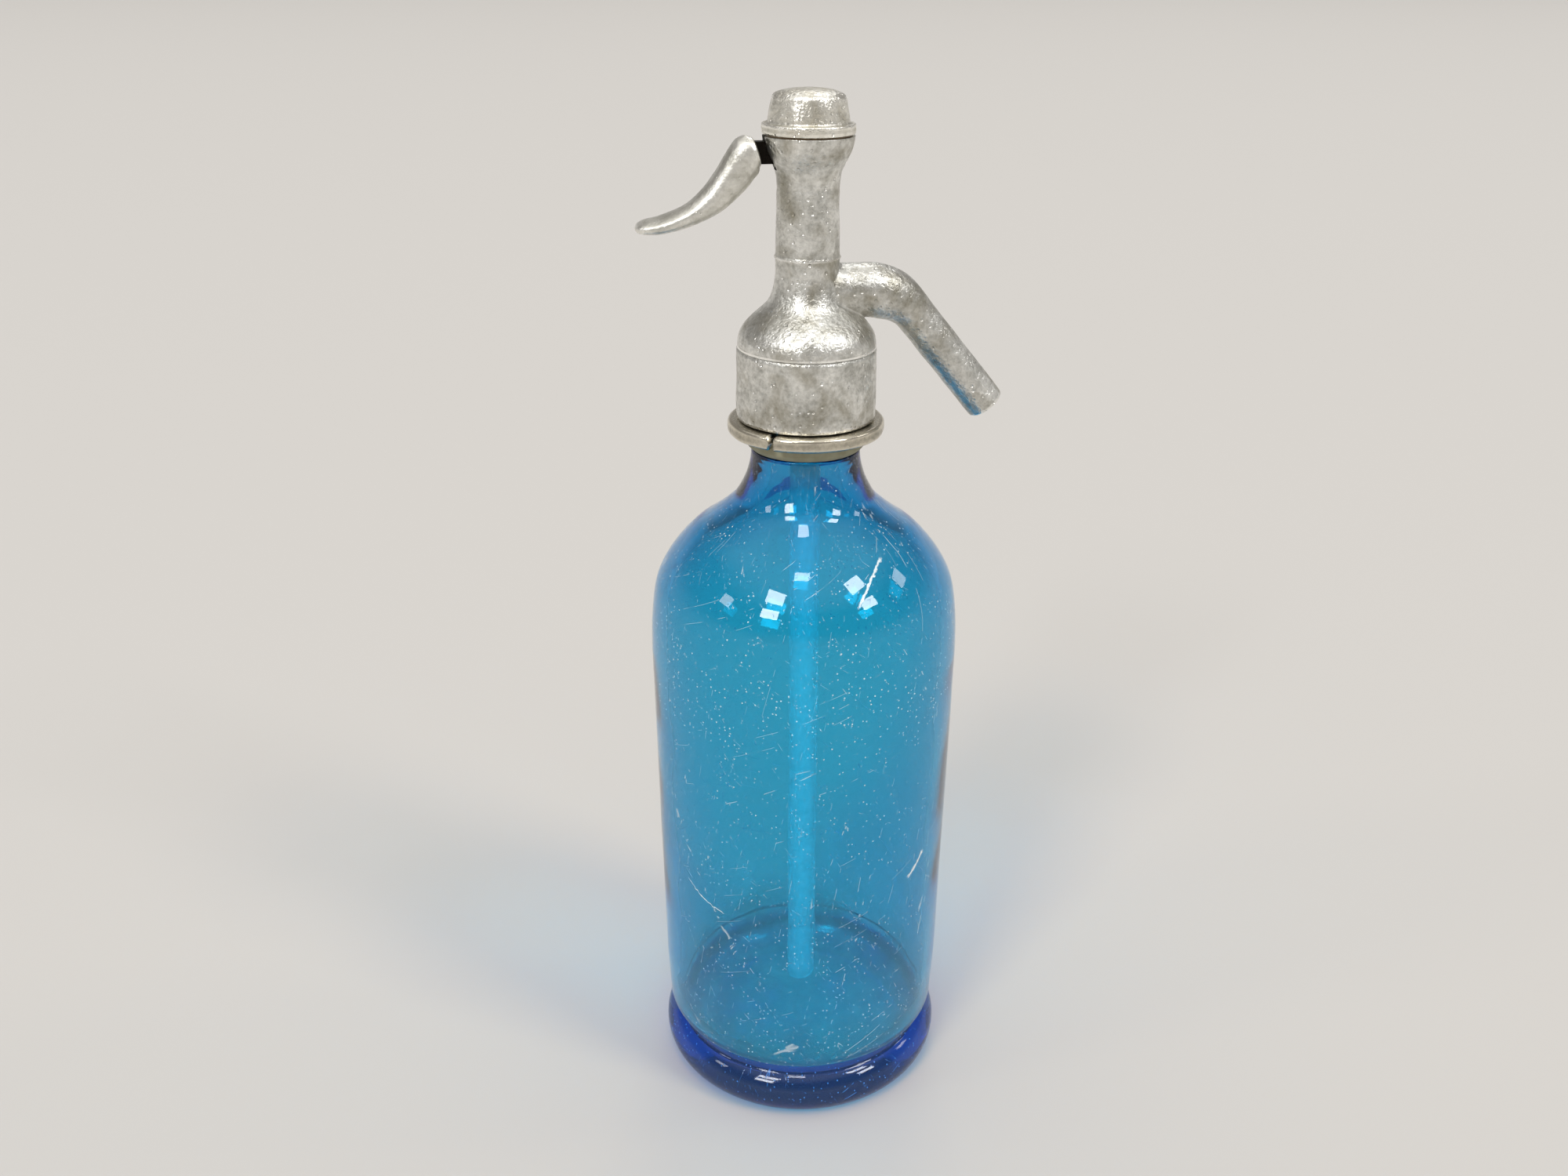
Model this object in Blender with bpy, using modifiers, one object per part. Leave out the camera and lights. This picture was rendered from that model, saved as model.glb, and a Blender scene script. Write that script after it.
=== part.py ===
"""Soda siphon: a blown glass bottle with a pewter valve head, a bent spout and a thumb lever.

Metres, +Z up. The origin is on the bottle's axis, in the plane that it stands on. The spout points
along +X and the lever along -X. Pressing the lever's tip down lifts the valve rod off its seat.
"""

import math

import bmesh
import bpy
from mathutils import Matrix, Vector

# Fits between touching pieces
FIT = 0.0003
FINGER_PLAY = 0.00015
OVERRUN = 0.002
WELD = 0.00001

# Bottle
FOOT_RADIUS = 0.0459
FOOT_HEIGHT = 0.0162
CONTACT_RADIUS = 0.0405
BASE_RECESS_RADIUS = 0.0345
BASE_RECESS_DEPTH = 0.0012
WAIST_RADIUS = 0.0413
HEEL_RADIUS = 0.0445
HEEL_HEIGHT = 0.0235
BODY_FOOT_RADIUS = 0.0453
BODY_FOOT_HEIGHT = 0.0380
BODY_TOP_RADIUS = 0.0466
SHOULDER_HEIGHT = 0.1512
NECK_RADIUS = 0.0157
NECK_HEIGHT = 0.2131
GLASS_WALL = 0.0045
FLOOR_THICKNESS = 0.0105
FLOOR_ROUND = 0.0110
MOUTH_RADIUS = 0.0100
GROOVE_RADIUS = 0.0134
GROOVE_LENGTH = 0.0084
LIP_RADIUS = 0.0156
LIP_HEIGHT = 0.0065
LIP_ROUND = 0.0012

# Dip tube and what holds it
TUBE_RADIUS = 0.0046
TUBE_BORE_RADIUS = 0.0030
TUBE_END_HEIGHT = 0.0250
TUBE_END_ROUND = 0.0008
TUBE_SOCKET_RADIUS = 0.0082
TUBE_SOCKET_DEPTH = 0.0094
GROMMET_THICKNESS = 0.0031
NUT_FLANGE_RADIUS = 0.0088
NUT_FLANGE_THICKNESS = 0.0033
NUT_ACROSS_FLATS = 0.0150

# Split ring and packing under the glass lip
PACKING_RADIUS = 0.0173
PACKING_THICKNESS = 0.0042
PACKING_CHAMFER = 0.0014
RING_BEAD_RADIUS = 0.0225
RING_BEAD_HEIGHT = 0.0042
RING_THREAD_RADIUS = 0.0179
RING_THREAD_LENGTH = 0.0048
RING_SPLIT = 0.0020
RING_SPLIT_TURN = math.radians(52)

# Head casting
GASKET_THICKNESS = 0.0020
SKIRT_RADIUS = 0.0200
SKIRT_TOP_RADIUS = 0.0197
SKIRT_HEIGHT = 0.0202
SEAM_STEP = 0.0002
DOME_HEIGHT = 0.0204
COLUMN_RADIUS = 0.0089
COLUMN_TOP_RADIUS = 0.00845
COLUMN_HEIGHT = 0.0236
BEAD_ABOVE_DOME = 0.0047
BEAD_PROUD = 0.00035
BEAD_WIDTH = 0.0012
BULB_RADIUS = 0.01245
BULB_HEIGHT = 0.0127
WATERWAY_RADIUS = 0.0030
SEAT_CHAMBER_ABOVE_SOCKET = 0.0060
SEAT_CHAMBER_RADIUS = 0.0056
SEAT_CHAMBER_LENGTH = 0.0200
ROD_CHAMBER_RADIUS = 0.0066
CAP_BORE_RADIUS = 0.0091
CAP_BORE_DEPTH = 0.0024

# Spout
PORT_RADIUS = 0.0052
SPOUT_ABOVE_SEAT_CHAMBER = 0.0120
SPOUT_ROOT_RADIUS = 0.0075
SPOUT_END_RADIUS = 0.0057
SPOUT_WALL = 0.0016
SPOUT_BEND_START = 0.0160
SPOUT_BEND_RADIUS = 0.0192
SPOUT_BEND = math.radians(50.3)
SPOUT_TAPER_START = 0.0215
SPOUT_STRAIGHT = 0.0362
SPIGOT_END = 0.0062

# Valve
SEAT_THICKNESS = 0.0027
SEAT_BORE_RADIUS = 0.0026
SEAT_LIP_HEIGHT = 0.0006
SEAT_LIP_WIDTH = 0.0008
PAD_RADIUS = 0.0042
PAD_THICKNESS = 0.0022
DISC_RADIUS = 0.0051
DISC_THICKNESS = 0.0026
DISC_RIM_DROP = 0.0018
DISC_HUB_RADIUS = 0.0032
DISC_HUB_HEIGHT = 0.0026
DISC_SOCKET_DEPTH = 0.0031
SCREW_RADIUS = 0.0010
SCREW_HEAD_RADIUS = 0.0021
SCREW_HEAD_THICKNESS = 0.0010
SCREW_SLOT = 0.0005
ROD_RADIUS = 0.0019
ROD_HEAD_RADIUS = 0.0050
ROD_HEAD_BELOW_FINGER = 0.0057
ROD_HEAD_ABOVE_FINGER = 0.0037
MORTISE_BELOW_FINGER = 0.0037
LEATHER_THICKNESS = 0.0030
LEATHER_DISH = 0.0009
GLAND_LENGTH = 0.0100
GLAND_SLOT = 0.0012
GLAND_SLOT_DEPTH = 0.0015
WASHER_RADIUS = 0.0060
WASHER_BORE_RADIUS = 0.0030
WASHER_THICKNESS = 0.0008
SPRING_RADIUS = 0.0049
SPRING_WIRE_RADIUS = 0.00045
SPRING_TURNS = 5

# Cap
CAP_GASKET_THICKNESS = 0.0004
CAP_GASKET_INSET = 0.0008
FLANGE_RADIUS = 0.0126
FLANGE_THICKNESS = 0.0024
FLANGE_ROUND = 0.0007
CROWN_RADIUS = 0.0117
CROWN_ACROSS_FLATS = 0.0222
CROWN_TOP_ACROSS_FLATS = 0.0198
CROWN_HEIGHT = 0.0088
CROWN_SIDES = 8
CROWN_TURN = math.radians(-9)
SPIGOT_LENGTH = 0.0028
SPRING_POCKET_ROOF = 0.0030

# Lever
PIVOT_REACH = 0.0076
PIVOT_BELOW_RIM = 0.0047
PIN_RADIUS = 0.0012
PIN_LENGTH = 0.0074
TONGUE_WIDTH = 0.0036
FINGER_REACH = 0.0080
FINGER_DROP = 0.0004
FINGER_RADIUS = 0.0014
TONGUE_SHOULDER_REACH = 0.0009
FINGER_ROOT_REACH = 0.0024
TONGUE_SHOULDER_RISE = 0.0024
TONGUE_TOP_ABOVE_PIVOT = 0.0036
BLADE_END_REACH = 0.0021
BLADE_STEP_REACH = 0.0014
TONGUE_BELOW_PIVOT = 0.0021
TENON_HEIGHT = 0.0042
TENON_ABOVE_PIVOT = 0.0026
TENON_END = 0.0112
TENON_SHOULDER = 0.0088
SLOT_BELOW_PIVOT = 0.0037
LEVER_ROOT_REACH = 0.0133
LEVER_LENGTH = 0.0336
LEVER_DROP = 0.0250
LEVER_TOP_ABOVE_PIVOT = 0.0052
LEVER_HALF_WIDTH = 0.0060

# Facets round the turned pieces
BOTTLE_STEPS = 36
HEAD_STEPS = 28
RING_STEPS = 24
SMALL_STEPS = 18
SPRING_POINTS_PER_TURN = 10

# Heights of the seats, each from the piece that carries it
GROOVE_TOP = NECK_HEIGHT + GROOVE_LENGTH
LIP_TOP = GROOVE_TOP + LIP_HEIGHT
PACKING_BOTTOM = NECK_HEIGHT + FIT
RING_BOTTOM = PACKING_BOTTOM + PACKING_THICKNESS + FIT
SKIRT_BOTTOM = RING_BOTTOM + RING_BEAD_HEIGHT + FIT
GASKET_BOTTOM = LIP_TOP + FIT
CEILING = GASKET_BOTTOM + GASKET_THICKNESS + FIT
SKIRT_TOP = SKIRT_BOTTOM + SKIRT_HEIGHT
COLUMN_BOTTOM = SKIRT_TOP + DOME_HEIGHT
BULB_BOTTOM = COLUMN_BOTTOM + COLUMN_HEIGHT
RIM = BULB_BOTTOM + BULB_HEIGHT
SOCKET_TOP = CEILING + TUBE_SOCKET_DEPTH
SEAT_CHAMBER_BOTTOM = SOCKET_TOP + SEAT_CHAMBER_ABOVE_SOCKET
ROD_CHAMBER_BOTTOM = SEAT_CHAMBER_BOTTOM + SEAT_CHAMBER_LENGTH
CAP_LEDGE = RIM - CAP_BORE_DEPTH
SPOUT_HEIGHT = SEAT_CHAMBER_BOTTOM + SPOUT_ABOVE_SEAT_CHAMBER
PIVOT = Vector((-PIVOT_REACH, 0, RIM - PIVOT_BELOW_RIM))
FINGER_Z = PIVOT.z - FINGER_DROP
SEAT_BOTTOM = SEAT_CHAMBER_BOTTOM + FIT
PAD_BOTTOM = SEAT_BOTTOM + SEAT_THICKNESS + SEAT_LIP_HEIGHT + FIT
DISC_BOTTOM = PAD_BOTTOM + PAD_THICKNESS + FIT
DISC_TOP = DISC_BOTTOM + DISC_THICKNESS
HUB_TOP = DISC_TOP + DISC_HUB_HEIGHT
ROD_BOTTOM = HUB_TOP - DISC_SOCKET_DEPTH + FIT
ROD_HEAD_BOTTOM = FINGER_Z - ROD_HEAD_BELOW_FINGER
ROD_HEAD_TOP = FINGER_Z + ROD_HEAD_ABOVE_FINGER
WASHER_BOTTOM = ROD_HEAD_TOP + FIT
SPRING_BOTTOM = WASHER_BOTTOM + WASHER_THICKNESS + FIT
CAP_GASKET_BOTTOM = RIM + FIT
CAP_BOTTOM = CAP_GASKET_BOTTOM + CAP_GASKET_THICKNESS + FIT
CAP_TOP = CAP_BOTTOM + FLANGE_THICKNESS + CROWN_HEIGHT
POCKET_TOP = CAP_TOP - SPRING_POCKET_ROOF
LEATHER_BOTTOM = ROD_CHAMBER_BOTTOM + FIT
GLAND_BOTTOM = LEATHER_BOTTOM + LEATHER_THICKNESS + FIT
GLAND_TOP = GLAND_BOTTOM + GLAND_LENGTH

# Shares (height, radius) of curved walls, from the lower to the upper end of each
SHOULDER_SHARES = ((0, 1), (0.154, 0.988), (0.306, 0.948), (0.398, 0.880), (0.489, 0.764),
                   (0.581, 0.597), (0.642, 0.430), (0.704, 0.276), (0.764, 0.158),
                   (0.856, 0.060), (0.935, 0.015), (1, 0))
DOME_SHARES = ((0, 1), (0.080, 0.998), (0.162, 0.968), (0.250, 0.890), (0.338, 0.765),
               (0.431, 0.588), (0.525, 0.378), (0.613, 0.216), (0.706, 0.120), (0.829, 0.046), (1, 0))
BULB_SHARES = ((0, 0), (0.160, 0.045), (0.310, 0.165), (0.450, 0.370), (0.590, 0.620),
               (0.730, 0.825), (0.870, 0.950), (1, 1))
CROWN_SHARES = ((0, 1), (0.650, 0.890), (0.745, 0.862), (0.820, 0.810), (0.880, 0.720),
                (0.945, 0.540), (0.985, 0.300), (1, 0))
FOOT_ARC_DEGREES = (62, 38, 15, -10, -35, -62)

# Shares along the lever's two edges from root to tip: (upper reach, upper drop, lower reach, lower drop,
# half width)
LEVER_SHARES = ((0.077, 0.016, 0, 0.328, 0.78), (0.122, 0.004, 0.012, 0.392, 0.84),
                (0.185, 0.040, 0.048, 0.448, 0.86), (0.235, 0.120, 0.098, 0.532, 0.84),
                (0.286, 0.224, 0.155, 0.608, 0.82), (0.360, 0.376, 0.247, 0.716, 0.82),
                (0.467, 0.560, 0.345, 0.800, 0.85), (0.607, 0.712, 0.536, 0.908, 0.92),
                (0.783, 0.812, 0.756, 0.984, 1), (0.914, 0.856, 0.908, 0.996, 0.90),
                (0.973, 0.888, 0.979, 0.984, 0.66), (1, 0.928, 1, 0.960, 0.30))
LEVER_SECTION_POINTS = 16
SECTION_POWER_SHARE = 0.85


def clear_scene():
    for obj in list(bpy.data.objects):
        bpy.data.objects.remove(obj, do_unlink=True)


def collection(name):
    made = bpy.data.collections.new(name)
    bpy.context.scene.collection.children.link(made)
    return made


def linear(hex_colour):
    """An sRGB hex colour as linear red, green, blue and full alpha."""
    channels = [int(hex_colour[i:i + 2], 16) / 255 for i in (0, 2, 4)]
    return [c / 12.92 if c <= 0.04045 else ((c + 0.055) / 1.055) ** 2.4 for c in channels] + [1]


def material(name, hex_colour, roughness, metallic=0, transmission=0):
    made = bpy.data.materials.new(name)
    made.use_nodes = True
    shader = made.node_tree.nodes["Principled BSDF"]
    shader.inputs["Base Color"].default_value = linear(hex_colour)
    shader.inputs["Roughness"].default_value = roughness
    shader.inputs["Metallic"].default_value = metallic
    shader.inputs["Transmission Weight"].default_value = transmission
    return made


clear_scene()
PARTS = collection("soda_siphon")
CUTTERS = collection("cutters")
BLUE_GLASS = material("blue_glass", "1a86ad", 0.03, transmission=1)
CLEAR_GLASS = material("tube_glass", "bfe3ea", 0.04, transmission=1)
PEWTER = material("cast_pewter", "a8a69a", 0.38, metallic=1)
TINNED = material("turned_tin_ring", "b3aa97", 0.28, metallic=1)
HORN = material("neck_packing", "8f8d70", 0.60)
IRON = material("black_iron", "1a1714", 0.55, metallic=1)
BRASS = material("brass", "b08d4a", 0.35, metallic=1)
RUBBER = material("red_rubber", "7c3a2c", 0.75)
LEATHER = material("oiled_leather", "5a3a22", 0.70)
STEEL = material("spring_steel", "9a9a98", 0.30, metallic=1)


def add_object(name, mesh, stuff, location=(0, 0, 0)):
    """Links a mesh as a named part, or as a hidden cutter where no material is given."""
    obj = bpy.data.objects.new(name, mesh)
    obj.location = location
    if stuff is None:
        CUTTERS.objects.link(obj)
        obj.hide_render = True
        obj.display_type = "WIRE"
    else:
        PARTS.objects.link(obj)
        mesh.materials.append(stuff)
    return obj


def turned(name, profile, stuff, location=(0, 0, 0), steps=RING_STEPS):
    """A turned piece. The profile (radius, height) runs down the outer side and up the inner side.

    One whose two ends lie on the axis stays open there, and any other is closed to a ring.
    """
    mesh = bpy.data.meshes.new(name)
    points = [(radius, 0, height) for radius, height in profile]
    edges = [(i, i + 1) for i in range(len(points) - 1)]
    if profile[0][0] > 0 and profile[-1][0] > 0:
        edges.append((len(points) - 1, 0))
    mesh.from_pydata(points, edges, [])
    obj = add_object(name, mesh, stuff, location)
    screw = obj.modifiers.new("turn", "SCREW")
    screw.steps = steps
    screw.render_steps = steps
    screw.use_smooth_shade = True
    screw.use_merge_vertices = True
    screw.merge_threshold = WELD
    return obj


def ring_profile(inner, outer, thickness):
    """A washer's section, standing on height 0."""
    return [(inner, thickness), (outer, thickness), (outer, 0), (inner, 0)]


def box(name, low, high, stuff=None):
    """A box between two corners, with its own centre as origin."""
    low, high = Vector(low), Vector(high)
    mesh = bpy.data.meshes.new(name)
    shape = bmesh.new()
    bmesh.ops.create_cube(shape, size=1)
    bmesh.ops.scale(shape, vec=high - low, verts=shape.verts)
    shape.to_mesh(mesh)
    shape.free()
    return add_object(name, mesh, stuff, (low + high) / 2)


def rod(name, radius, start, end, stuff=None, sides=RING_STEPS):
    """A round bar from start to end."""
    start, end = Vector(start), Vector(end)
    mesh = bpy.data.meshes.new(name)
    shape = bmesh.new()
    bmesh.ops.create_cone(shape, cap_ends=True, segments=sides, radius1=radius, radius2=radius,
                          depth=(end - start).length)
    turn = Vector((0, 0, 1)).rotation_difference(end - start).to_matrix().to_4x4()
    shape.transform(turn)
    shape.to_mesh(mesh)
    shape.free()
    return add_object(name, mesh, stuff, (start + end) / 2)


def change(obj, other, operation="DIFFERENCE"):
    """Cuts or joins another object with an exact Boolean."""
    boolean = obj.modifiers.new(operation.lower() + "_" + other.name, "BOOLEAN")
    boolean.operation = operation
    boolean.solver = "EXACT"
    boolean.object = other


def curve_mesh(name, points, radius, radius_shares, sides_level, stuff):
    """A tube along the points, with a radius share at each, made a mesh with welded caps."""
    curve = bpy.data.curves.new(name, "CURVE")
    curve.dimensions = "3D"
    curve.bevel_depth = radius
    curve.bevel_resolution = sides_level
    curve.use_fill_caps = True
    spline = curve.splines.new("POLY")
    spline.points.add(len(points) - 1)
    for point, place, share in zip(spline.points, points, radius_shares):
        point.co = (*place, 1)
        point.radius = share
    guide = bpy.data.objects.new(name + "_curve", curve)
    CUTTERS.objects.link(guide)
    bpy.context.view_layer.update()
    graph = bpy.context.evaluated_depsgraph_get()
    mesh = bpy.data.meshes.new_from_object(guide.evaluated_get(graph))
    matrix = guide.matrix_world.copy()
    bpy.data.objects.remove(guide)
    shape = bmesh.new()
    shape.from_mesh(mesh)
    bmesh.ops.remove_doubles(shape, verts=shape.verts, dist=WELD)
    bmesh.ops.recalc_face_normals(shape, faces=shape.faces)
    shape.to_mesh(mesh)
    shape.free()
    obj = add_object(name, mesh, stuff)
    obj.matrix_world = matrix
    return obj


def extruded(name, outline, width, stuff, location):
    """A flat outline (x, z) with the given width along Y, from a filled 2D curve."""
    curve = bpy.data.curves.new(name, "CURVE")
    curve.dimensions = "2D"
    curve.fill_mode = "BOTH"
    curve.extrude = width / 2
    spline = curve.splines.new("POLY")
    spline.points.add(len(outline) - 1)
    for point, (x, z) in zip(spline.points, outline):
        point.co = (x, z, 0, 1)
    spline.use_cyclic_u = True
    guide = bpy.data.objects.new(name + "_curve", curve)
    CUTTERS.objects.link(guide)
    bpy.context.view_layer.update()
    graph = bpy.context.evaluated_depsgraph_get()
    mesh = bpy.data.meshes.new_from_object(guide.evaluated_get(graph))
    bpy.data.objects.remove(guide)
    shape = bmesh.new()
    shape.from_mesh(mesh)
    bmesh.ops.remove_doubles(shape, verts=shape.verts, dist=WELD)
    shape.transform(Matrix.Rotation(math.pi / 2, 4, "X"))
    bmesh.ops.recalc_face_normals(shape, faces=shape.faces)
    shape.to_mesh(mesh)
    shape.free()
    return add_object(name, mesh, stuff, location)


def set_origin(obj, origin):
    """Moves an object's origin to a point of the world and leaves its shape where it is."""
    shift = Vector(origin) - obj.location
    obj.data.transform(Matrix.Translation(-shift))
    obj.location = origin


def arc(centre, radius, start, end, count):
    """Points of a circular arc in the radius-height plane, both ends included."""
    angles = [start + (end - start) * i / (count - 1) for i in range(count)]
    return [(centre[0] + radius * math.cos(a), centre[1] + radius * math.sin(a)) for a in angles]


def wall(shares, low_radius, high_radius, bottom, top):
    """A curved wall's (radius, height) points from bottom to top, out of its table of shares.

    A radius share is 1 at the wider end.
    """
    wide, narrow = max(low_radius, high_radius), min(low_radius, high_radius)
    return [(narrow + (wide - narrow) * r, bottom + (top - bottom) * h) for h, r in shares]


def bottle_outside():
    """The outer wall from the lip down to the middle of the base."""
    lip = arc((LIP_RADIUS - LIP_ROUND, LIP_TOP - LIP_ROUND), LIP_ROUND, math.pi / 2, 0, 3)
    underside = arc((LIP_RADIUS - LIP_ROUND, GROOVE_TOP + LIP_ROUND), LIP_ROUND, 0, -math.pi / 2, 3)
    groove = [(GROOVE_RADIUS, GROOVE_TOP), (GROOVE_RADIUS, NECK_HEIGHT)]
    shoulder = wall(SHOULDER_SHARES, BODY_TOP_RADIUS, NECK_RADIUS, SHOULDER_HEIGHT, NECK_HEIGHT)
    heel_round = BODY_FOOT_RADIUS - HEEL_RADIUS
    side = [((BODY_TOP_RADIUS + BODY_FOOT_RADIUS) / 2, (SHOULDER_HEIGHT + BODY_FOOT_HEIGHT) / 2),
            (BODY_FOOT_RADIUS, BODY_FOOT_HEIGHT),
            (HEEL_RADIUS + heel_round / 2, HEEL_HEIGHT + FOOT_HEIGHT / 4),
            (HEEL_RADIUS, HEEL_HEIGHT)]
    return lip + underside + groove + shoulder[::-1] + side + waist_and_foot()


def waist_and_foot():
    """The undercut heel, the waist groove and the rounded foot, down to the recess in the base."""
    depth = HEEL_RADIUS - WAIST_RADIUS
    heel_centre = (HEEL_RADIUS - depth / 2, HEEL_HEIGHT - depth / 2)
    heel = arc(heel_centre, depth / 2, math.pi / 12, -math.pi / 2, 4)
    waist = [(WAIST_RADIUS, FOOT_HEIGHT + depth / 4), (WAIST_RADIUS, FOOT_HEIGHT - depth / 4)]
    half = FOOT_HEIGHT / 2
    swell = FOOT_RADIUS - WAIST_RADIUS
    foot = [(WAIST_RADIUS + swell * math.cos(a), half + half * math.sin(a))
            for a in map(math.radians, FOOT_ARC_DEGREES)]
    base = [(CONTACT_RADIUS + swell / 3, swell / 10), (CONTACT_RADIUS, 0),
            (BASE_RECESS_RADIUS + swell / 3, 0), (BASE_RECESS_RADIUS, BASE_RECESS_DEPTH),
            (0, BASE_RECESS_DEPTH)]
    return heel + waist + foot + base


def bottle_inside():
    """The inner wall from the middle of the floor up to the mouth."""
    low = BODY_FOOT_RADIUS - GLASS_WALL
    high = BODY_TOP_RADIUS - GLASS_WALL
    floor = [(0, FLOOR_THICKNESS), (low - FLOOR_ROUND, FLOOR_THICKNESS)]
    corner = arc((low - FLOOR_ROUND, FLOOR_THICKNESS + FLOOR_ROUND), FLOOR_ROUND, -math.pi / 2, 0, 5)
    inner = wall(SHOULDER_SHARES, high, MOUTH_RADIUS, SHOULDER_HEIGHT - GLASS_WALL / 2,
                 NECK_HEIGHT - GLASS_WALL)
    mouth = [(MOUTH_RADIUS, LIP_TOP - LIP_ROUND), (MOUTH_RADIUS + LIP_ROUND, LIP_TOP)]
    return floor + corner[1:] + inner[:-2] + [inner[-1]] + mouth


def make_bottle():
    turned("bottle", bottle_inside() + bottle_outside(), BLUE_GLASS, steps=BOTTLE_STEPS)


def make_dip_tube():
    """The glass tube, the rubber ring that seals it in the head and the nut that squeezes the ring."""
    length = SOCKET_TOP - FIT - TUBE_END_HEIGHT
    tube = [(TUBE_BORE_RADIUS, length), (TUBE_RADIUS, length), (TUBE_RADIUS, TUBE_END_ROUND),
            (TUBE_RADIUS - TUBE_END_ROUND, 0), (TUBE_BORE_RADIUS, 0)]
    turned("dip_tube", tube, CLEAR_GLASS, (0, 0, TUBE_END_HEIGHT), SMALL_STEPS)
    passage = TUBE_RADIUS + FIT
    thread_radius = TUBE_SOCKET_RADIUS - FIT
    turned("tube_grommet", ring_profile(passage, thread_radius, GROMMET_THICKNESS), RUBBER,
           (0, 0, SOCKET_TOP - FIT - GROMMET_THICKNESS), SMALL_STEPS)
    flange_top = CEILING - FIT
    thread = SOCKET_TOP - GROMMET_THICKNESS - 2 * FIT - flange_top
    profile = [(passage, thread), (thread_radius, thread), (thread_radius, 0), (NUT_FLANGE_RADIUS, 0),
               (NUT_FLANGE_RADIUS, -NUT_FLANGE_THICKNESS), (passage, -NUT_FLANGE_THICKNESS)]
    nut = turned("tube_nut", profile, BRASS, (0, 0, flange_top))
    reach = NUT_FLANGE_RADIUS + OVERRUN
    bottom = flange_top - NUT_FLANGE_THICKNESS - OVERRUN
    for name, side in (("front", -1), ("back", 1)):
        edges = sorted((side * NUT_ACROSS_FLATS / 2, side * reach))
        flat = box(f"nut_flat_{name}_cutter", (-reach, edges[0], bottom), (reach, edges[1], flange_top))
        change(nut, flat)


def make_neck_packing():
    """The ring under the split ring, whose chamfered lip shows below the bead."""
    inner, outer = GROOVE_RADIUS + FIT, PACKING_RADIUS
    profile = [(inner, PACKING_THICKNESS), (outer, PACKING_THICKNESS), (outer, PACKING_CHAMFER),
               (outer - PACKING_CHAMFER, 0), (inner, 0)]
    turned("neck_packing", profile, HORN, (0, 0, PACKING_BOTTOM), BOTTLE_STEPS)


def make_split_ring():
    """Two threaded halves with a rounded bead, which meet at a slit and hook under the glass lip."""
    round_bead = RING_BEAD_HEIGHT / 2
    bead = arc((RING_BEAD_RADIUS - round_bead, round_bead), round_bead, math.pi / 2, -math.pi / 2, 7)
    thread_top = RING_BEAD_HEIGHT + RING_THREAD_LENGTH
    hook = GROOVE_TOP - FIT - RING_BOTTOM
    profile = [(LIP_RADIUS + FIT, thread_top), (RING_THREAD_RADIUS, thread_top),
               (RING_THREAD_RADIUS, RING_BEAD_HEIGHT)] + bead + [
                   (GROOVE_RADIUS + FIT, 0), (GROOVE_RADIUS + FIT, hook), (LIP_RADIUS + FIT, hook)]
    reach = RING_BEAD_RADIUS + OVERRUN
    for name, side in (("half_ring_front", -1), ("half_ring_back", 1)):
        half = turned(name, profile, TINNED, (0, 0, RING_BOTTOM), BOTTLE_STEPS)
        edges = sorted((side * RING_SPLIT / 2, -side * reach))
        blade = box(name + "_cutter", (-reach, edges[0], -OVERRUN), (reach, edges[1], thread_top + OVERRUN))
        place = Matrix.Translation((0, 0, RING_BOTTOM)) @ Matrix.Rotation(RING_SPLIT_TURN, 4, "Z")
        blade.matrix_world = place @ Matrix.Translation(blade.location)
        change(half, blade)


def head_outside():
    """The casting's outer wall from the rim of the bulb down to the skirt's lower edge."""
    bulb = wall(BULB_SHARES, COLUMN_TOP_RADIUS, BULB_RADIUS, BULB_BOTTOM, RIM)
    bead_middle = COLUMN_BOTTOM + BEAD_ABOVE_DOME
    bead = [(COLUMN_RADIUS, bead_middle + BEAD_WIDTH / 2), (COLUMN_RADIUS + BEAD_PROUD, bead_middle),
            (COLUMN_RADIUS, bead_middle - BEAD_WIDTH / 2)]
    dome = wall(DOME_SHARES, SKIRT_TOP_RADIUS - SEAM_STEP, COLUMN_RADIUS, SKIRT_TOP, COLUMN_BOTTOM)
    skirt = [(SKIRT_TOP_RADIUS, SKIRT_TOP), (SKIRT_RADIUS, SKIRT_BOTTOM + SKIRT_HEIGHT / 4),
             (SKIRT_RADIUS, SKIRT_BOTTOM)]
    return bulb[::-1] + bead + dome[::-1] + skirt


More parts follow.
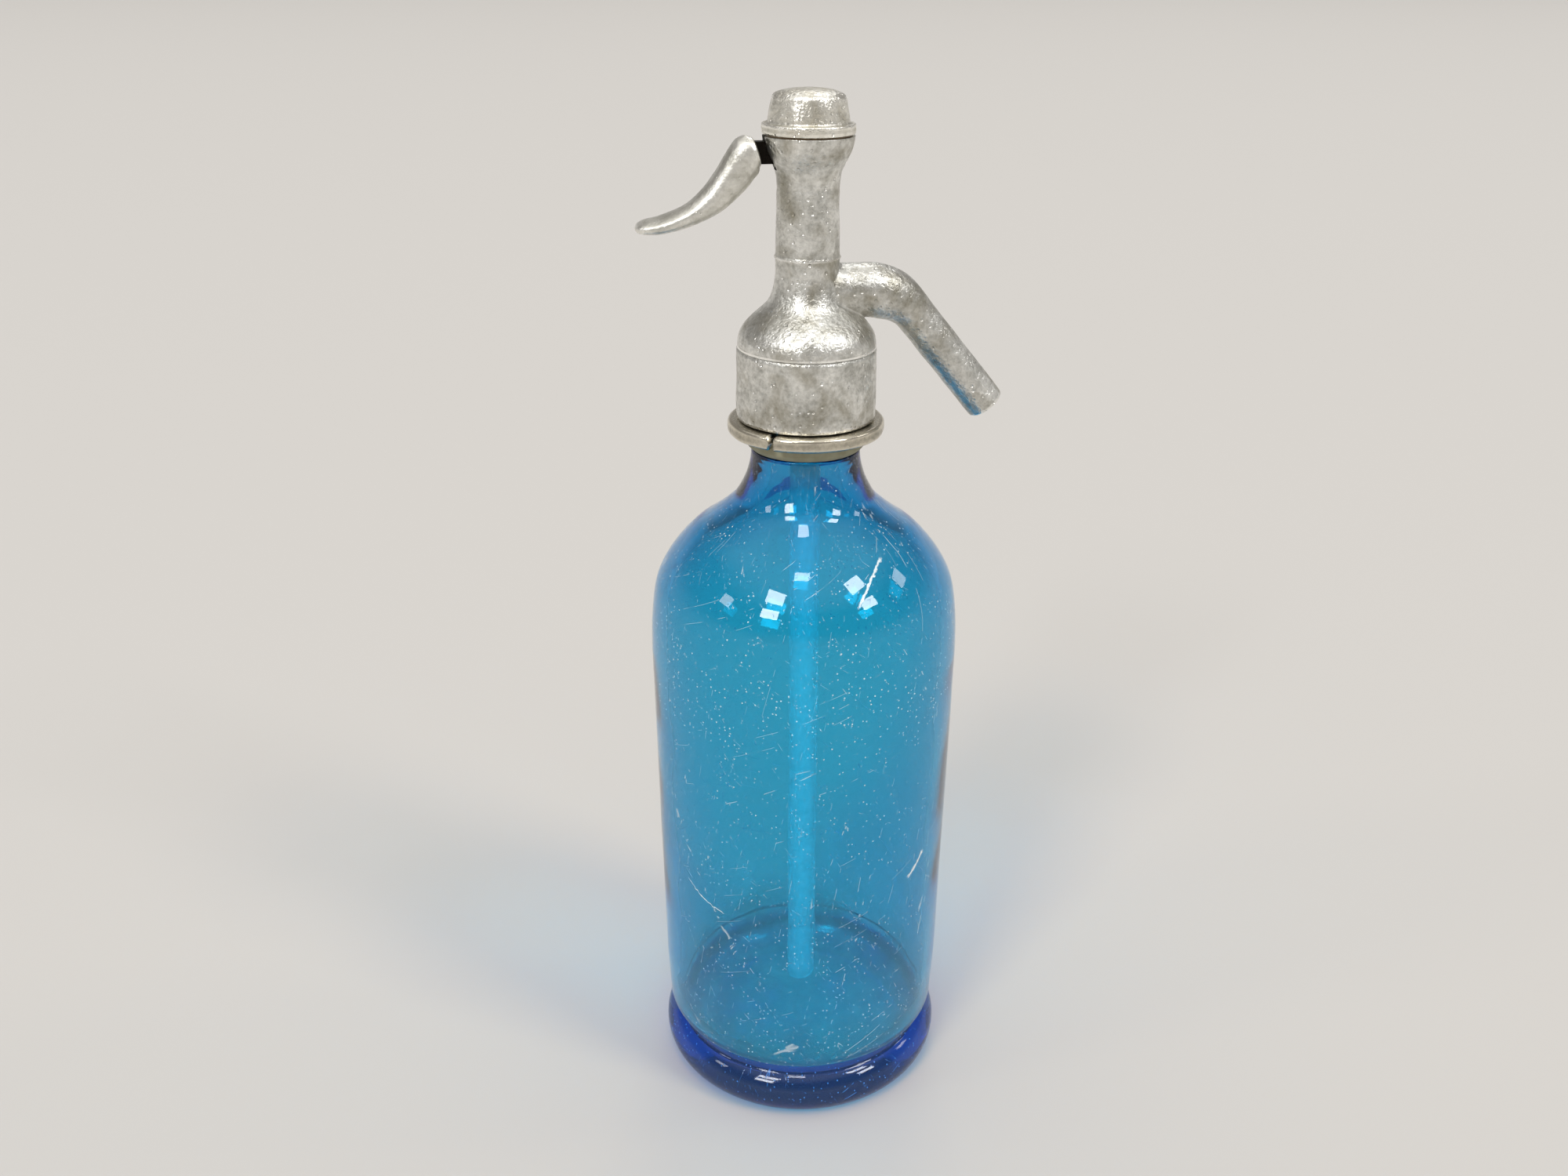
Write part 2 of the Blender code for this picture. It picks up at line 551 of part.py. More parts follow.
def make_head_body():
    inside = [(RING_THREAD_RADIUS + FIT, SKIRT_BOTTOM), (RING_THREAD_RADIUS + FIT, CEILING),
              (TUBE_SOCKET_RADIUS, CEILING), (TUBE_SOCKET_RADIUS, SOCKET_TOP),
              (WATERWAY_RADIUS, SOCKET_TOP),
              (WATERWAY_RADIUS, SEAT_CHAMBER_BOTTOM), (SEAT_CHAMBER_RADIUS, SEAT_CHAMBER_BOTTOM),
              (SEAT_CHAMBER_RADIUS, ROD_CHAMBER_BOTTOM), (ROD_CHAMBER_RADIUS, ROD_CHAMBER_BOTTOM),
              (ROD_CHAMBER_RADIUS, CAP_LEDGE), (CAP_BORE_RADIUS, CAP_LEDGE), (CAP_BORE_RADIUS, RIM)]
    head = turned("head_body", head_outside() + inside, PEWTER, steps=HEAD_STEPS)
    change(head, rod("port_cutter", PORT_RADIUS, (WATERWAY_RADIUS, 0, SPOUT_HEIGHT),
                     (SKIRT_RADIUS, 0, SPOUT_HEIGHT)))
    half = TONGUE_WIDTH / 2 + FIT
    slot_start = (-BULB_RADIUS - OVERRUN, -half, PIVOT.z - SLOT_BELOW_PIVOT)
    change(head, box("tongue_slot_cutter", slot_start, (-ROD_CHAMBER_RADIUS / 2, half, RIM + OVERRUN)))
    seat_radius = PIN_RADIUS + FIT / 2
    seat_half = PIN_LENGTH / 2 + FIT
    change(head, box("pin_groove_cutter", (PIVOT.x - seat_radius, -seat_half, PIVOT.z),
                     (PIVOT.x + seat_radius, seat_half, RIM + OVERRUN)))
    change(head, rod("pin_seat_cutter", seat_radius, (PIVOT.x, -seat_half, PIVOT.z),
                     (PIVOT.x, seat_half, PIVOT.z), sides=SMALL_STEPS))


def make_mouth_gasket():
    turned("mouth_gasket", ring_profile(MOUTH_RADIUS, LIP_RADIUS, GASKET_THICKNESS), RUBBER,
           (0, 0, GASKET_BOTTOM))


def spout_path(start):
    """Points of the spout's middle line: level out of the head, round the bend, straight down."""
    points = [(start, 0, SPOUT_HEIGHT)]
    centre = Vector((SPOUT_BEND_START, 0, SPOUT_HEIGHT - SPOUT_BEND_RADIUS))
    for i in range(9):
        angle = SPOUT_BEND * i / 8
        points.append(centre + SPOUT_BEND_RADIUS * Vector((math.sin(angle), 0, math.cos(angle))))
    direction = Vector((math.cos(SPOUT_BEND), 0, -math.sin(SPOUT_BEND)))
    points.append(points[-1] + direction * SPOUT_STRAIGHT / 2)
    points.append(points[-2] + direction * SPOUT_STRAIGHT)
    return [Vector(point) for point in points]


def taper_shares(points, end_share):
    """A radius share at each point, which falls evenly over the lower bend and stays after it."""
    start, end = SPOUT_TAPER_START, points[-3].x
    shares = []
    for point in points:
        along = min(max((point.x - start) / (end - start), 0), 1)
        shares.append(1 + (end_share - 1) * along)
    return shares


def make_spout():
    """The bent tube, saddled on the casting, with a spigot that is soldered into the port."""
    points = spout_path(COLUMN_RADIUS / 2)
    shares = taper_shares(points, SPOUT_END_RADIUS / SPOUT_ROOT_RADIUS)
    spout = curve_mesh("spout", points, SPOUT_ROOT_RADIUS, shares, 6, PEWTER)
    saddle = [(radius + FIT, height) for radius, height in head_outside()]
    saddle = [(0, RIM)] + saddle + [(0, SKIRT_BOTTOM)]
    change(spout, turned("saddle_cutter", saddle, None, steps=HEAD_STEPS))
    spigot = rod("spigot_joiner", PORT_RADIUS - FIT, (SPIGOT_END, 0, SPOUT_HEIGHT),
                 (SPOUT_BEND_START, 0, SPOUT_HEIGHT))
    change(spout, spigot, "UNION")
    bore_points = spout_path(0)
    bore_points[-1] = bore_points[-1] + (bore_points[-1] - bore_points[-2]).normalized() * OVERRUN
    bore = curve_mesh("spout_bore_cutter", bore_points, SPOUT_END_RADIUS - SPOUT_WALL,
                      [1] * len(bore_points), 4, None)
    change(spout, bore)


def make_valve_seat():
    """The ring round the waterway, with a narrow raised lip that the pad closes on."""
    top = SEAT_THICKNESS + SEAT_LIP_HEIGHT
    inner, outer = SEAT_BORE_RADIUS, SEAT_CHAMBER_RADIUS - FIT
    profile = [(inner, top), (inner + SEAT_LIP_WIDTH / 2, top), (inner + SEAT_LIP_WIDTH, SEAT_THICKNESS),
               (outer, SEAT_THICKNESS), (outer, 0), (inner, 0)]
    turned("valve_seat", profile, BRASS, (0, 0, SEAT_BOTTOM))


def make_valve_disc():
    """The disc with a hub for the rod, the rubber pad inside its rim and the screw that holds the pad."""
    screw_hole = SCREW_RADIUS + FIT
    turned("valve_pad", ring_profile(screw_hole, PAD_RADIUS, PAD_THICKNESS), RUBBER,
           (0, 0, PAD_BOTTOM), SMALL_STEPS)
    rod_hole = ROD_RADIUS + FIT
    hub = HUB_TOP - DISC_BOTTOM
    socket = hub - DISC_SOCKET_DEPTH
    profile = [(rod_hole, hub), (DISC_HUB_RADIUS, hub), (DISC_HUB_RADIUS, DISC_THICKNESS),
               (DISC_RADIUS, DISC_THICKNESS), (DISC_RADIUS, -DISC_RIM_DROP),
               (PAD_RADIUS + FIT, -DISC_RIM_DROP), (PAD_RADIUS + FIT, 0), (screw_hole, 0),
               (screw_hole, socket), (rod_hole, socket)]
    turned("valve_disc", profile, BRASS, (0, 0, DISC_BOTTOM))
    shank_top = DISC_BOTTOM + socket - PAD_BOTTOM
    head_top = -FIT
    head_bottom = head_top - SCREW_HEAD_THICKNESS
    profile = [(0, shank_top), (SCREW_RADIUS, shank_top), (SCREW_RADIUS, head_top),
               (SCREW_HEAD_RADIUS, head_top), (SCREW_HEAD_RADIUS, head_bottom), (0, head_bottom)]
    screw = turned("pad_screw", profile, STEEL, (0, 0, PAD_BOTTOM), SMALL_STEPS)
    reach = SCREW_HEAD_RADIUS + FIT
    slot_top = PAD_BOTTOM + head_bottom + SCREW_HEAD_THICKNESS / 2
    change(screw, box("screw_slot_cutter", (-reach, -SCREW_SLOT / 2, slot_top - SCREW_HEAD_THICKNESS),
                      (reach, SCREW_SLOT / 2, slot_top)))


def make_valve_rod():
    """A thin stem with a thick head, which the lever's finger passes through."""
    length = ROD_HEAD_TOP - ROD_BOTTOM
    neck = ROD_HEAD_BOTTOM - ROD_BOTTOM
    chamfer = ROD_HEAD_RADIUS - ROD_RADIUS
    stem = turned("valve_rod", [(0, length), (ROD_HEAD_RADIUS, length), (ROD_HEAD_RADIUS, neck),
                                (ROD_RADIUS, neck - chamfer / 2), (ROD_RADIUS, 0), (0, 0)],
                  BRASS, (0, 0, ROD_BOTTOM))
    half = TONGUE_WIDTH / 2 + FIT
    reach = ROD_HEAD_RADIUS + OVERRUN
    change(stem, box("mortise_cutter", (-reach, -half, FINGER_Z - MORTISE_BELOW_FINGER),
                     (reach, half, FINGER_Z + FINGER_RADIUS + FINGER_PLAY)))


def make_packing():
    outer = ROD_CHAMBER_RADIUS - FIT
    inner = ROD_RADIUS + FIT
    middle = (outer + inner) / 2
    turned("packing_leather", [(inner, LEATHER_THICKNESS), (middle, LEATHER_THICKNESS - LEATHER_DISH),
                               (outer, LEATHER_THICKNESS), (outer, 0), (inner, 0)],
           LEATHER, (0, 0, LEATHER_BOTTOM))
    gland = turned("packing_gland", ring_profile(inner, outer, GLAND_LENGTH), BRASS, (0, 0, GLAND_BOTTOM))
    reach = outer + OVERRUN
    change(gland, box("gland_slot_cutter", (-reach, -GLAND_SLOT / 2, GLAND_TOP - GLAND_SLOT_DEPTH),
                      (reach, GLAND_SLOT / 2, GLAND_TOP + OVERRUN)))


def spring_points():
    """The helix of the return spring between its washer and the cap."""
    bottom = SPRING_BOTTOM + SPRING_WIRE_RADIUS
    top = POCKET_TOP - FIT - SPRING_WIRE_RADIUS
    count = SPRING_TURNS * SPRING_POINTS_PER_TURN
    points = []
    for i in range(count + 1):
        angle = 2 * math.pi * i / SPRING_POINTS_PER_TURN
        height = bottom + (top - bottom) * i / count
        points.append((SPRING_RADIUS * math.cos(angle), SPRING_RADIUS * math.sin(angle), height))
    pitch = (top - bottom) / SPRING_TURNS
    print(f"return_spring: least gap between turns {1000 * (pitch - 2 * SPRING_WIRE_RADIUS):.2f} mm")
    return points


def make_spring():
    turned("spring_washer", ring_profile(WASHER_BORE_RADIUS, WASHER_RADIUS, WASHER_THICKNESS), STEEL,
           (0, 0, WASHER_BOTTOM), SMALL_STEPS)
    points = spring_points()
    spring = curve_mesh("return_spring", points, SPRING_WIRE_RADIUS, [1] * len(points), 1, STEEL)
    set_origin(spring, (0, 0, SPRING_BOTTOM))


def make_cap():
    """The flanged cap: a spigot for the bulb, a pocket for the spring and a worn eight-sided crown."""
    gasket = ring_profile(CAP_BORE_RADIUS + FIT, BULB_RADIUS - CAP_GASKET_INSET, CAP_GASKET_THICKNESS)
    turned("cap_gasket", gasket, LEATHER, (0, 0, CAP_GASKET_BOTTOM), HEAD_STEPS)
    crown = [(CROWN_RADIUS * r, FLANGE_THICKNESS + CROWN_HEIGHT * h) for h, r in CROWN_SHARES][::-1]
    flange = [(FLANGE_RADIUS - FLANGE_ROUND, FLANGE_THICKNESS),
              (FLANGE_RADIUS, FLANGE_THICKNESS - FLANGE_ROUND),
              (FLANGE_RADIUS, FLANGE_ROUND), (FLANGE_RADIUS - FLANGE_ROUND, 0)]
    spigot_radius = CAP_BORE_RADIUS - FIT
    pocket = ROD_CHAMBER_RADIUS
    inside = [(spigot_radius, 0), (spigot_radius, -SPIGOT_LENGTH), (pocket, -SPIGOT_LENGTH),
              (pocket, POCKET_TOP - CAP_BOTTOM), (0, POCKET_TOP - CAP_BOTTOM)]
    cap = turned("head_cap", crown + flange + inside, PEWTER, (0, 0, CAP_BOTTOM), HEAD_STEPS)
    to_corner = 2 * math.cos(math.pi / CROWN_SIDES)
    low_corner, high_corner = CROWN_ACROSS_FLATS / to_corner, CROWN_TOP_ACROSS_FLATS / to_corner
    high = FLANGE_THICKNESS + CROWN_HEIGHT
    outside = FLANGE_RADIUS + OVERRUN
    flats = turned("crown_flats_cutter", [(high_corner, high), (outside, high), (outside, FLANGE_THICKNESS),
                                          (low_corner, FLANGE_THICKNESS)],
                   None, (0, 0, CAP_BOTTOM), CROWN_SIDES)
    flats.rotation_euler.z = math.pi / 2 + math.pi / CROWN_SIDES + CROWN_TURN
    change(cap, flats)


def squared(share):
    """A sine or cosine moved outwards a little, which makes an oval's sides fuller."""
    return math.copysign(abs(share) ** SECTION_POWER_SHARE, share)


def lever_sections():
    """Rings of points round the thumb lever, each between its two edges, from the root to the tip."""
    corner = Vector((-LEVER_ROOT_REACH, 0, PIVOT.z + LEVER_TOP_ABOVE_PIVOT))
    rings = []
    for high_reach, high_drop, low_reach, low_drop, wide in LEVER_SHARES:
        high = corner - Vector((LEVER_LENGTH * high_reach, 0, LEVER_DROP * high_drop))
        low = corner - Vector((LEVER_LENGTH * low_reach, 0, LEVER_DROP * low_drop))
        ring = []
        for k in range(LEVER_SECTION_POINTS):
            angle = 2 * math.pi * k / LEVER_SECTION_POINTS
            side = Vector((0, LEVER_HALF_WIDTH * wide * squared(math.cos(angle)), 0))
            ring.append((high + low) / 2 + (high - low) / 2 * squared(math.sin(angle)) + side)
        rings.append(ring)
    return rings


def make_lever():
    """The pewter thumb lever, a loft between unlike ovals, cast round the tenon of an iron tongue."""
    rings = lever_sections()
    mesh = bpy.data.meshes.new("lever_handle")
    shape = bmesh.new()
    verts = [[shape.verts.new(point) for point in ring] for ring in rings]
    for ring, following in zip(verts, verts[1:]):
        for k in range(LEVER_SECTION_POINTS):
            after = (k + 1) % LEVER_SECTION_POINTS
            shape.faces.new((ring[k], ring[after], following[after], following[k]))
    shape.faces.new(verts[0])
    shape.faces.new(verts[-1])
    bmesh.ops.recalc_face_normals(shape, faces=shape.faces)
    shape.to_mesh(mesh)
    shape.free()
    handle = add_object("lever_handle", mesh, PEWTER)
    set_origin(handle, PIVOT)
    half = TONGUE_WIDTH / 2 + FIT
    for name, reach, low, high in (
            ("tenon_socket_cutter", TENON_END, TENON_ABOVE_PIVOT - TENON_HEIGHT, TENON_ABOVE_PIVOT),
            ("blade_seat_cutter", TENON_SHOULDER, -TONGUE_BELOW_PIVOT, TONGUE_TOP_ABOVE_PIVOT)):
        seat_start = PIVOT + Vector((-reach - FIT, -half, low - FIT))
        change(handle, box(name, seat_start, PIVOT + Vector((0, half, high + FIT))))
    tongue = extruded("lever_tongue", tongue_outline(), TONGUE_WIDTH, IRON, PIVOT)
    pin_hole = PIN_RADIUS + FIT
    change(tongue, rod("pin_hole_cutter", pin_hole, (PIVOT.x, -TONGUE_WIDTH, PIVOT.z),
                       (PIVOT.x, TONGUE_WIDTH, PIVOT.z), sides=SMALL_STEPS))
    rod("lever_pin", PIN_RADIUS, (PIVOT.x, -PIN_LENGTH / 2, PIVOT.z), (PIVOT.x, PIN_LENGTH / 2, PIVOT.z),
        IRON, SMALL_STEPS)


def tongue_outline():
    """The iron tongue seen from the side, about its pivot: tenon, blade, shoulder and round finger."""
    tenon_top, tenon_bottom = TENON_ABOVE_PIVOT, TENON_ABOVE_PIVOT - TENON_HEIGHT
    finger = arc((FINGER_REACH, -FINGER_DROP), FINGER_RADIUS, -math.pi / 2, math.pi / 2, 7)
    finger_top = FINGER_RADIUS - FINGER_DROP
    tenon = [(-TENON_SHOULDER, tenon_top), (-TENON_END, tenon_top), (-TENON_END, tenon_bottom),
             (-TENON_SHOULDER, tenon_bottom)]
    underside = [(-TENON_SHOULDER, -TONGUE_BELOW_PIVOT), (TONGUE_SHOULDER_REACH, -TONGUE_BELOW_PIVOT)]
    upper_side = [(FINGER_ROOT_REACH, finger_top), (TONGUE_SHOULDER_REACH, TONGUE_SHOULDER_RISE),
                  (-BLADE_STEP_REACH, TONGUE_SHOULDER_RISE), (-BLADE_END_REACH, TONGUE_TOP_ABOVE_PIVOT),
                  (-TENON_SHOULDER, TONGUE_TOP_ABOVE_PIVOT)]
    return tenon + underside + finger + upper_side


def finish_shading():
    """Turns each part's modifiers into its mesh, and shades it smooth but for its sharp edges."""
    bpy.context.view_layer.update()
    graph = bpy.context.evaluated_depsgraph_get()
    meshes = {obj: bpy.data.meshes.new_from_object(obj.evaluated_get(graph)) for obj in PARTS.objects}
    for obj, mesh in meshes.items():
        obj.modifiers.clear()
        obj.data = mesh
        mesh.name = obj.name
        mesh.shade_smooth()
        mesh.set_sharp_from_angle(angle=math.radians(35))


make_bottle()
make_dip_tube()
make_neck_packing()
make_split_ring()
make_head_body()
make_mouth_gasket()
make_spout()
make_valve_seat()
make_valve_disc()
make_valve_rod()
make_packing()
make_spring()
make_cap()
make_lever()
finish_shading()
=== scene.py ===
"""An old soda siphon: blown blue glass, a cast pewter head, a bent spout and a thumb lever.

Metres, +Z up, the bottle standing on z = 0 about the Z axis. The spout points along +X, the lever along -X.
"""

import math

import bpy
import numpy as np
from mathutils import Matrix, Vector


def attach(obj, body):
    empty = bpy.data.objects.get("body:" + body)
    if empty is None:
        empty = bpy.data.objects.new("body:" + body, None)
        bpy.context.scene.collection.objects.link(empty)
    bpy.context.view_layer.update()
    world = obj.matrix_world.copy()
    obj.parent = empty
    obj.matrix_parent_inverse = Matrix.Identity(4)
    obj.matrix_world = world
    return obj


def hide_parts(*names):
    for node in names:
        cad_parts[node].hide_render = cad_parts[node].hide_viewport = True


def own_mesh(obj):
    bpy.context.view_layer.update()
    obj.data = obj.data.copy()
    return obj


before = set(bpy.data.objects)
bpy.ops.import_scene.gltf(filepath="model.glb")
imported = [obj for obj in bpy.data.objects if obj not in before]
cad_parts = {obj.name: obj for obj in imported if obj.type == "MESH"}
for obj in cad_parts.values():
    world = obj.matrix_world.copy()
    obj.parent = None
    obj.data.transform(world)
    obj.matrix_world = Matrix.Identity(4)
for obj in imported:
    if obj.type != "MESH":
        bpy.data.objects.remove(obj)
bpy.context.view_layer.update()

# The camera stands in front of the bottle and a little to the lever's side of square, at the eye height of
# someone who sits at the table. Its lens and place were worked out from how the bottle tapers downwards in
# the photograph.
EYE_AWAY, EYE_HEIGHT = 0.3904, 0.3439
EYE_TURN, EYE_PITCH, EYE_ROLL = (math.radians(angle) for angle in (-12, 24.28, 0.57))
SENSOR_WIDTH, LENS, LENS_SHIFT = 36, 32.4, -0.01285

eye = bpy.data.objects.new("eye", bpy.data.cameras.new("eye"))
eye.data.sensor_width = SENSOR_WIDTH
eye.data.lens = LENS
eye.data.shift_x = LENS_SHIFT
bpy.context.scene.collection.objects.link(eye)
eye.matrix_world = (Matrix.Rotation(EYE_TURN, 4, "Z") @ Matrix.Translation((0, -EYE_AWAY, EYE_HEIGHT))
                    @ Matrix.Rotation(math.pi / 2 - EYE_PITCH, 4, "X") @ Matrix.Rotation(EYE_ROLL, 4, "Z"))
bpy.context.scene.camera = eye
bpy.context.scene.view_settings.view_transform = "Standard"


# A plain pale floor that runs out to the horizon, and a room with pale walls, a darker belt above them and a
# bright ceiling, so that metal gets light and dark bands. Eight softboxes far away light all evenly.
def linear(hex_colour):
    """An sRGB hex colour as linear red, green, blue and full alpha: each channel's sRGB curve undone."""
    share = np.array([int(hex_colour[i:i + 2], 16) for i in (0, 2, 4)]) / 255
    return (*np.where(share <= 0.04045, share / 12.92, ((share + 0.055) / 1.055) ** 2.4), 1)


def add(tree, kind, inputs=(), **settings):
    """Adds a node. inputs maps a socket's name or number to a value, or to an output that feeds it."""
    node = tree.nodes.new("ShaderNode" + kind)
    for name, value in settings.items():
        setattr(node, name, value)
    for name, value in dict(inputs).items():
        if isinstance(value, bpy.types.NodeSocket):
            tree.links.new(value, node.inputs[name])
        else:
            node.inputs[name].default_value = value
    return node


def new_tree(name):
    """A new material and its node tree, emptied."""
    made = bpy.data.materials.new(name)
    made.use_nodes = True
    made.node_tree.nodes.clear()
    return made, made.node_tree


# matt pale paper: no gloss, so that it takes only the object's soft shadow
FLOOR_SIZE = 60
floor_finish, tree = new_tree("pale_paper")
paper = add(tree, "BsdfPrincipled", {"Base Color": linear("c8c5c1"), "Roughness": 0.9})
add(tree, "OutputMaterial", {"Surface": paper.outputs[0]})
bpy.ops.mesh.primitive_plane_add(size=FLOOR_SIZE)
floor = bpy.context.object
floor.name = "floor"
floor.data.materials.append(floor_finish)

room = bpy.data.worlds.new("room")
room.use_nodes = True
bpy.context.scene.world = room
tree = room.node_tree
tree.nodes.clear()
direction = add(tree, "TexCoord").outputs["Generated"]
height = add(tree, "SeparateXYZ", {0: direction}).outputs["Z"]
walls = add(tree, "ValToRGB", {"Fac": height})
stops = walls.color_ramp.elements
# height in the room, from 0 at the horizon to 1 overhead, and its colour there
for place, colour in ((0.02, "dcdad7"), (0.30, "8e8b88"), (0.60, "8e8b88"), (0.84, "f6f4f0")):
    stops.new(place).color = linear(colour)
stops.remove(stops[0])
stops.remove(stops[-1])
seen = add(tree, "MixRGB", {"Fac": add(tree, "LightPath").outputs["Is Camera Ray"], 1: walls.outputs[0],
                            2: linear("d3d1ce")})
background = add(tree, "Background", {"Color": seen.outputs[0]})
add(tree, "OutputWorld", {"Surface": background.outputs[0]})

# name, direction from the object, width and height in degrees as seen from there, and the light that the
# lamp throws on a surface that faces it
LAMP_AWAY = 50.0
LAMPS = (("left_low_lamp", (-0.62, -0.70, 0.66), 13, 9, 0.58),
         ("left_high_lamp", (-0.62, -0.70, 1.10), 13, 9, 0.50),
         ("right_low_lamp", (0.60, -0.55, 0.60), 12, 8, 0.44),
         ("right_high_lamp", (0.60, -0.55, 1.02), 12, 8, 0.42),
         ("far_left_lamp", (-0.95, -0.15, 0.60), 9, 8, 0.14),
         ("far_right_lamp", (0.95, -0.05, 0.60), 9, 8, 0.12),
         ("rear_lamp", (0.25, 0.80, 0.75), 18, 18, 0.28),
         ("top_lamp", (-0.10, -0.35, 1.00), 9, 11, 0.32))
for name, source, wide, tall, strength in LAMPS:
    lamp = bpy.data.objects.new(name, bpy.data.lights.new(name, "AREA"))
    lamp.data.shape = "RECTANGLE"
    lamp.data.size, lamp.data.size_y = (2 * LAMP_AWAY * math.tan(math.radians(a / 2)) for a in (wide, tall))
    lamp.data.energy = strength * math.pi * LAMP_AWAY ** 2
    lamp.location = Vector(source).normalized() * LAMP_AWAY
    lamp.rotation_euler = Vector(source).to_track_quat("Z", "Y").to_euler()
    lamp.visible_camera = False
    bpy.context.scene.collection.objects.link(lamp)


# Bottle: thick blue soda glass, blown in a mould, so its walls are a little uneven inside and out. It has a
# waist over a solid foot ring, and decades of crates have scratched and scuffed it.
def mm(*rows):
    """Rows of millimetres as an array of metres."""
    return np.array(rows, float) / 1000


def through(points, steps):
    """A smooth line through the points: on each stretch a cubic whose end slopes follow the neighbours."""
    before = np.vstack([2 * points[:1] - points[1:2], points[:-2]])[:, None]
    start, end = points[:-1, None], points[1:, None]
    after = np.vstack([points[2:], 2 * points[-1:] - points[-2:-1]])[:, None]
    t = np.linspace(0, 1, steps, endpoint=False)[None, :, None]
    line = 0.5 * (2 * start + (end - before) * t + (2 * before - 5 * start + 4 * end - after) * t ** 2
                  + (3 * start - before - 3 * end + after) * t ** 3)
    return np.vstack([line.reshape(-1, points.shape[1]), points[-1:]])


def curved(shares, narrow, wide, bottom, top, steps=8):
    """A curved wall's (radius, height) line from bottom to top.

    Its table holds (height share, radius share) pairs: a share of 0 is bottom or narrow, 1 is top or wide.
    """
    curve = through(shares, steps)
    return np.column_stack([narrow + (wide - narrow) * curve[:, 1], bottom + (top - bottom) * curve[:, 0]])


def rounded(corners, radius, steps=6):
    """The line through the corners with each inner corner turned by a parabola that starts radius away.

    No round takes more than half of the stretch beside it.
    """
    middle = corners[1:-1]
    ways = corners[:-2] - middle, corners[2:] - middle
    back, ahead = (way * np.minimum(radius / np.linalg.norm(way, axis=1), 0.5)[:, None] for way in ways)
    t = np.linspace(0, 1, steps)[None, :, None]
    turns = middle[:, None] + (1 - t) ** 2 * back[:, None] + t ** 2 * ahead[:, None]
    return np.vstack([corners[:1], turns.reshape(-1, corners.shape[1]), corners[-1:]])


def spread(line, gap):
    """The same line without double points, and with points added so that no stretch is longer than gap."""
    line = line[np.append(np.linalg.norm(np.diff(line, axis=0), axis=1) > 1e-6, True)]
    lengths = np.linalg.norm(np.diff(line, axis=0), axis=1)
    places = np.append(0, np.cumsum(lengths))
    extra = [np.linspace(a, b, max(int(np.ceil((b - a) / gap)), 1), endpoint=False)
             for a, b in zip(places[:-1], places[1:])]
    wanted = np.append(np.concatenate(extra), places[-1])
    return np.column_stack([np.interp(wanted, places, column) for column in line.T])


def waves(points, length, seed):
    """Smooth unevenness between -2 and 2: twice the mean of eight sine waves of about that length.

    Each wave has its own direction, phase and length.
    """
    rng = np.random.default_rng(seed)
    ways = rng.normal(size=(8, 3))
    ways *= (2 * math.pi / length * rng.uniform(0.6, 1.6, 8) / np.linalg.norm(ways, axis=1))[:, None]
    return np.sin(points @ ways.T + rng.uniform(0, 2 * math.pi, 8)).mean(axis=-1) * 2


def turned(profile, columns):
    """A grid of points: the profile (radius, height) carried round the Z axis in equal steps."""
    angle = np.linspace(0, 2 * math.pi, columns, endpoint=False)
    radius, height = profile[:, :1], profile[:, 1:]
    return np.stack([radius * np.cos(angle), radius * np.sin(angle), height + 0 * angle], axis=-1)


def surface(name, points, finish, body="siphon", ring=False, caps=False, mark=None):
    """A piece whose quads join each row of the grid to the next, and each row's end to its start.

    A row that is all one point becomes a pole. ring joins the last row to the first, and caps closes both.
    mark is a number from 0 to 1 at each point: how far handling has rubbed metal bright, or how far lime has
    clouded glass, where -1 stands for the outside that scratches can reach.
    """
    index = np.arange(points.shape[0] * points.shape[1]).reshape(points.shape[:2])
    for row in (0, -1):
        if not ring and np.ptp(points[row], axis=0).max() < 1e-7:
            index[row] = index[row, 0]
    following = np.roll(index, -1, axis=0)
    quads = np.stack([index, following, np.roll(following, -1, axis=1), np.roll(index, -1, axis=1)], axis=-1)
    quads = (quads if ring else quads[:-1]).reshape(-1, 4)
    used, numbers = np.unique(quads, return_inverse=True)
    faces = [tuple(dict.fromkeys(face)) for face in numbers.reshape(-1, 4).tolist()]
    if caps:
        count = points.shape[1]
        faces += [tuple(range(count)), tuple(range(len(used) - 1, len(used) - count - 1, -1))]
    mesh = bpy.data.meshes.new(name)
    mesh.from_pydata(points.reshape(-1, 3)[used].tolist(), [], faces)
    mesh.shade_smooth()
    if mark is not None:
        values = np.broadcast_to(mark, points.shape[:2]).reshape(-1)[used]
        mesh.attributes.new("mark", "FLOAT", "POINT").data.foreach_set("value", values.astype(np.float32))
    piece = bpy.data.objects.new(name, mesh)
    bpy.context.scene.collection.objects.link(piece)
    mesh.materials.append(finish)
    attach(piece, body)
    return piece


# from the full body up to the neck
SHOULDER_SHARES = np.array(((0, 1), (0.154, 0.988), (0.306, 0.948), (0.398, 0.880), (0.489, 0.764),
                            (0.581, 0.597), (0.642, 0.430), (0.704, 0.276), (0.764, 0.158), (0.856, 0.060),
                            (0.935, 0.015), (1, 0)))
# the foot's section is an oval, of which the part up to 64 degrees above and below its middle shows
FOOT_MIDDLE, FOOT_HALF, FOOT_TURN = (0.0380, 0.0081), (0.0079, 0.0081), 64
WANDER_INSIDE, WANDER_OUTSIDE, MOUTH_TOP = 0.00018, 0.00010, 0.2275

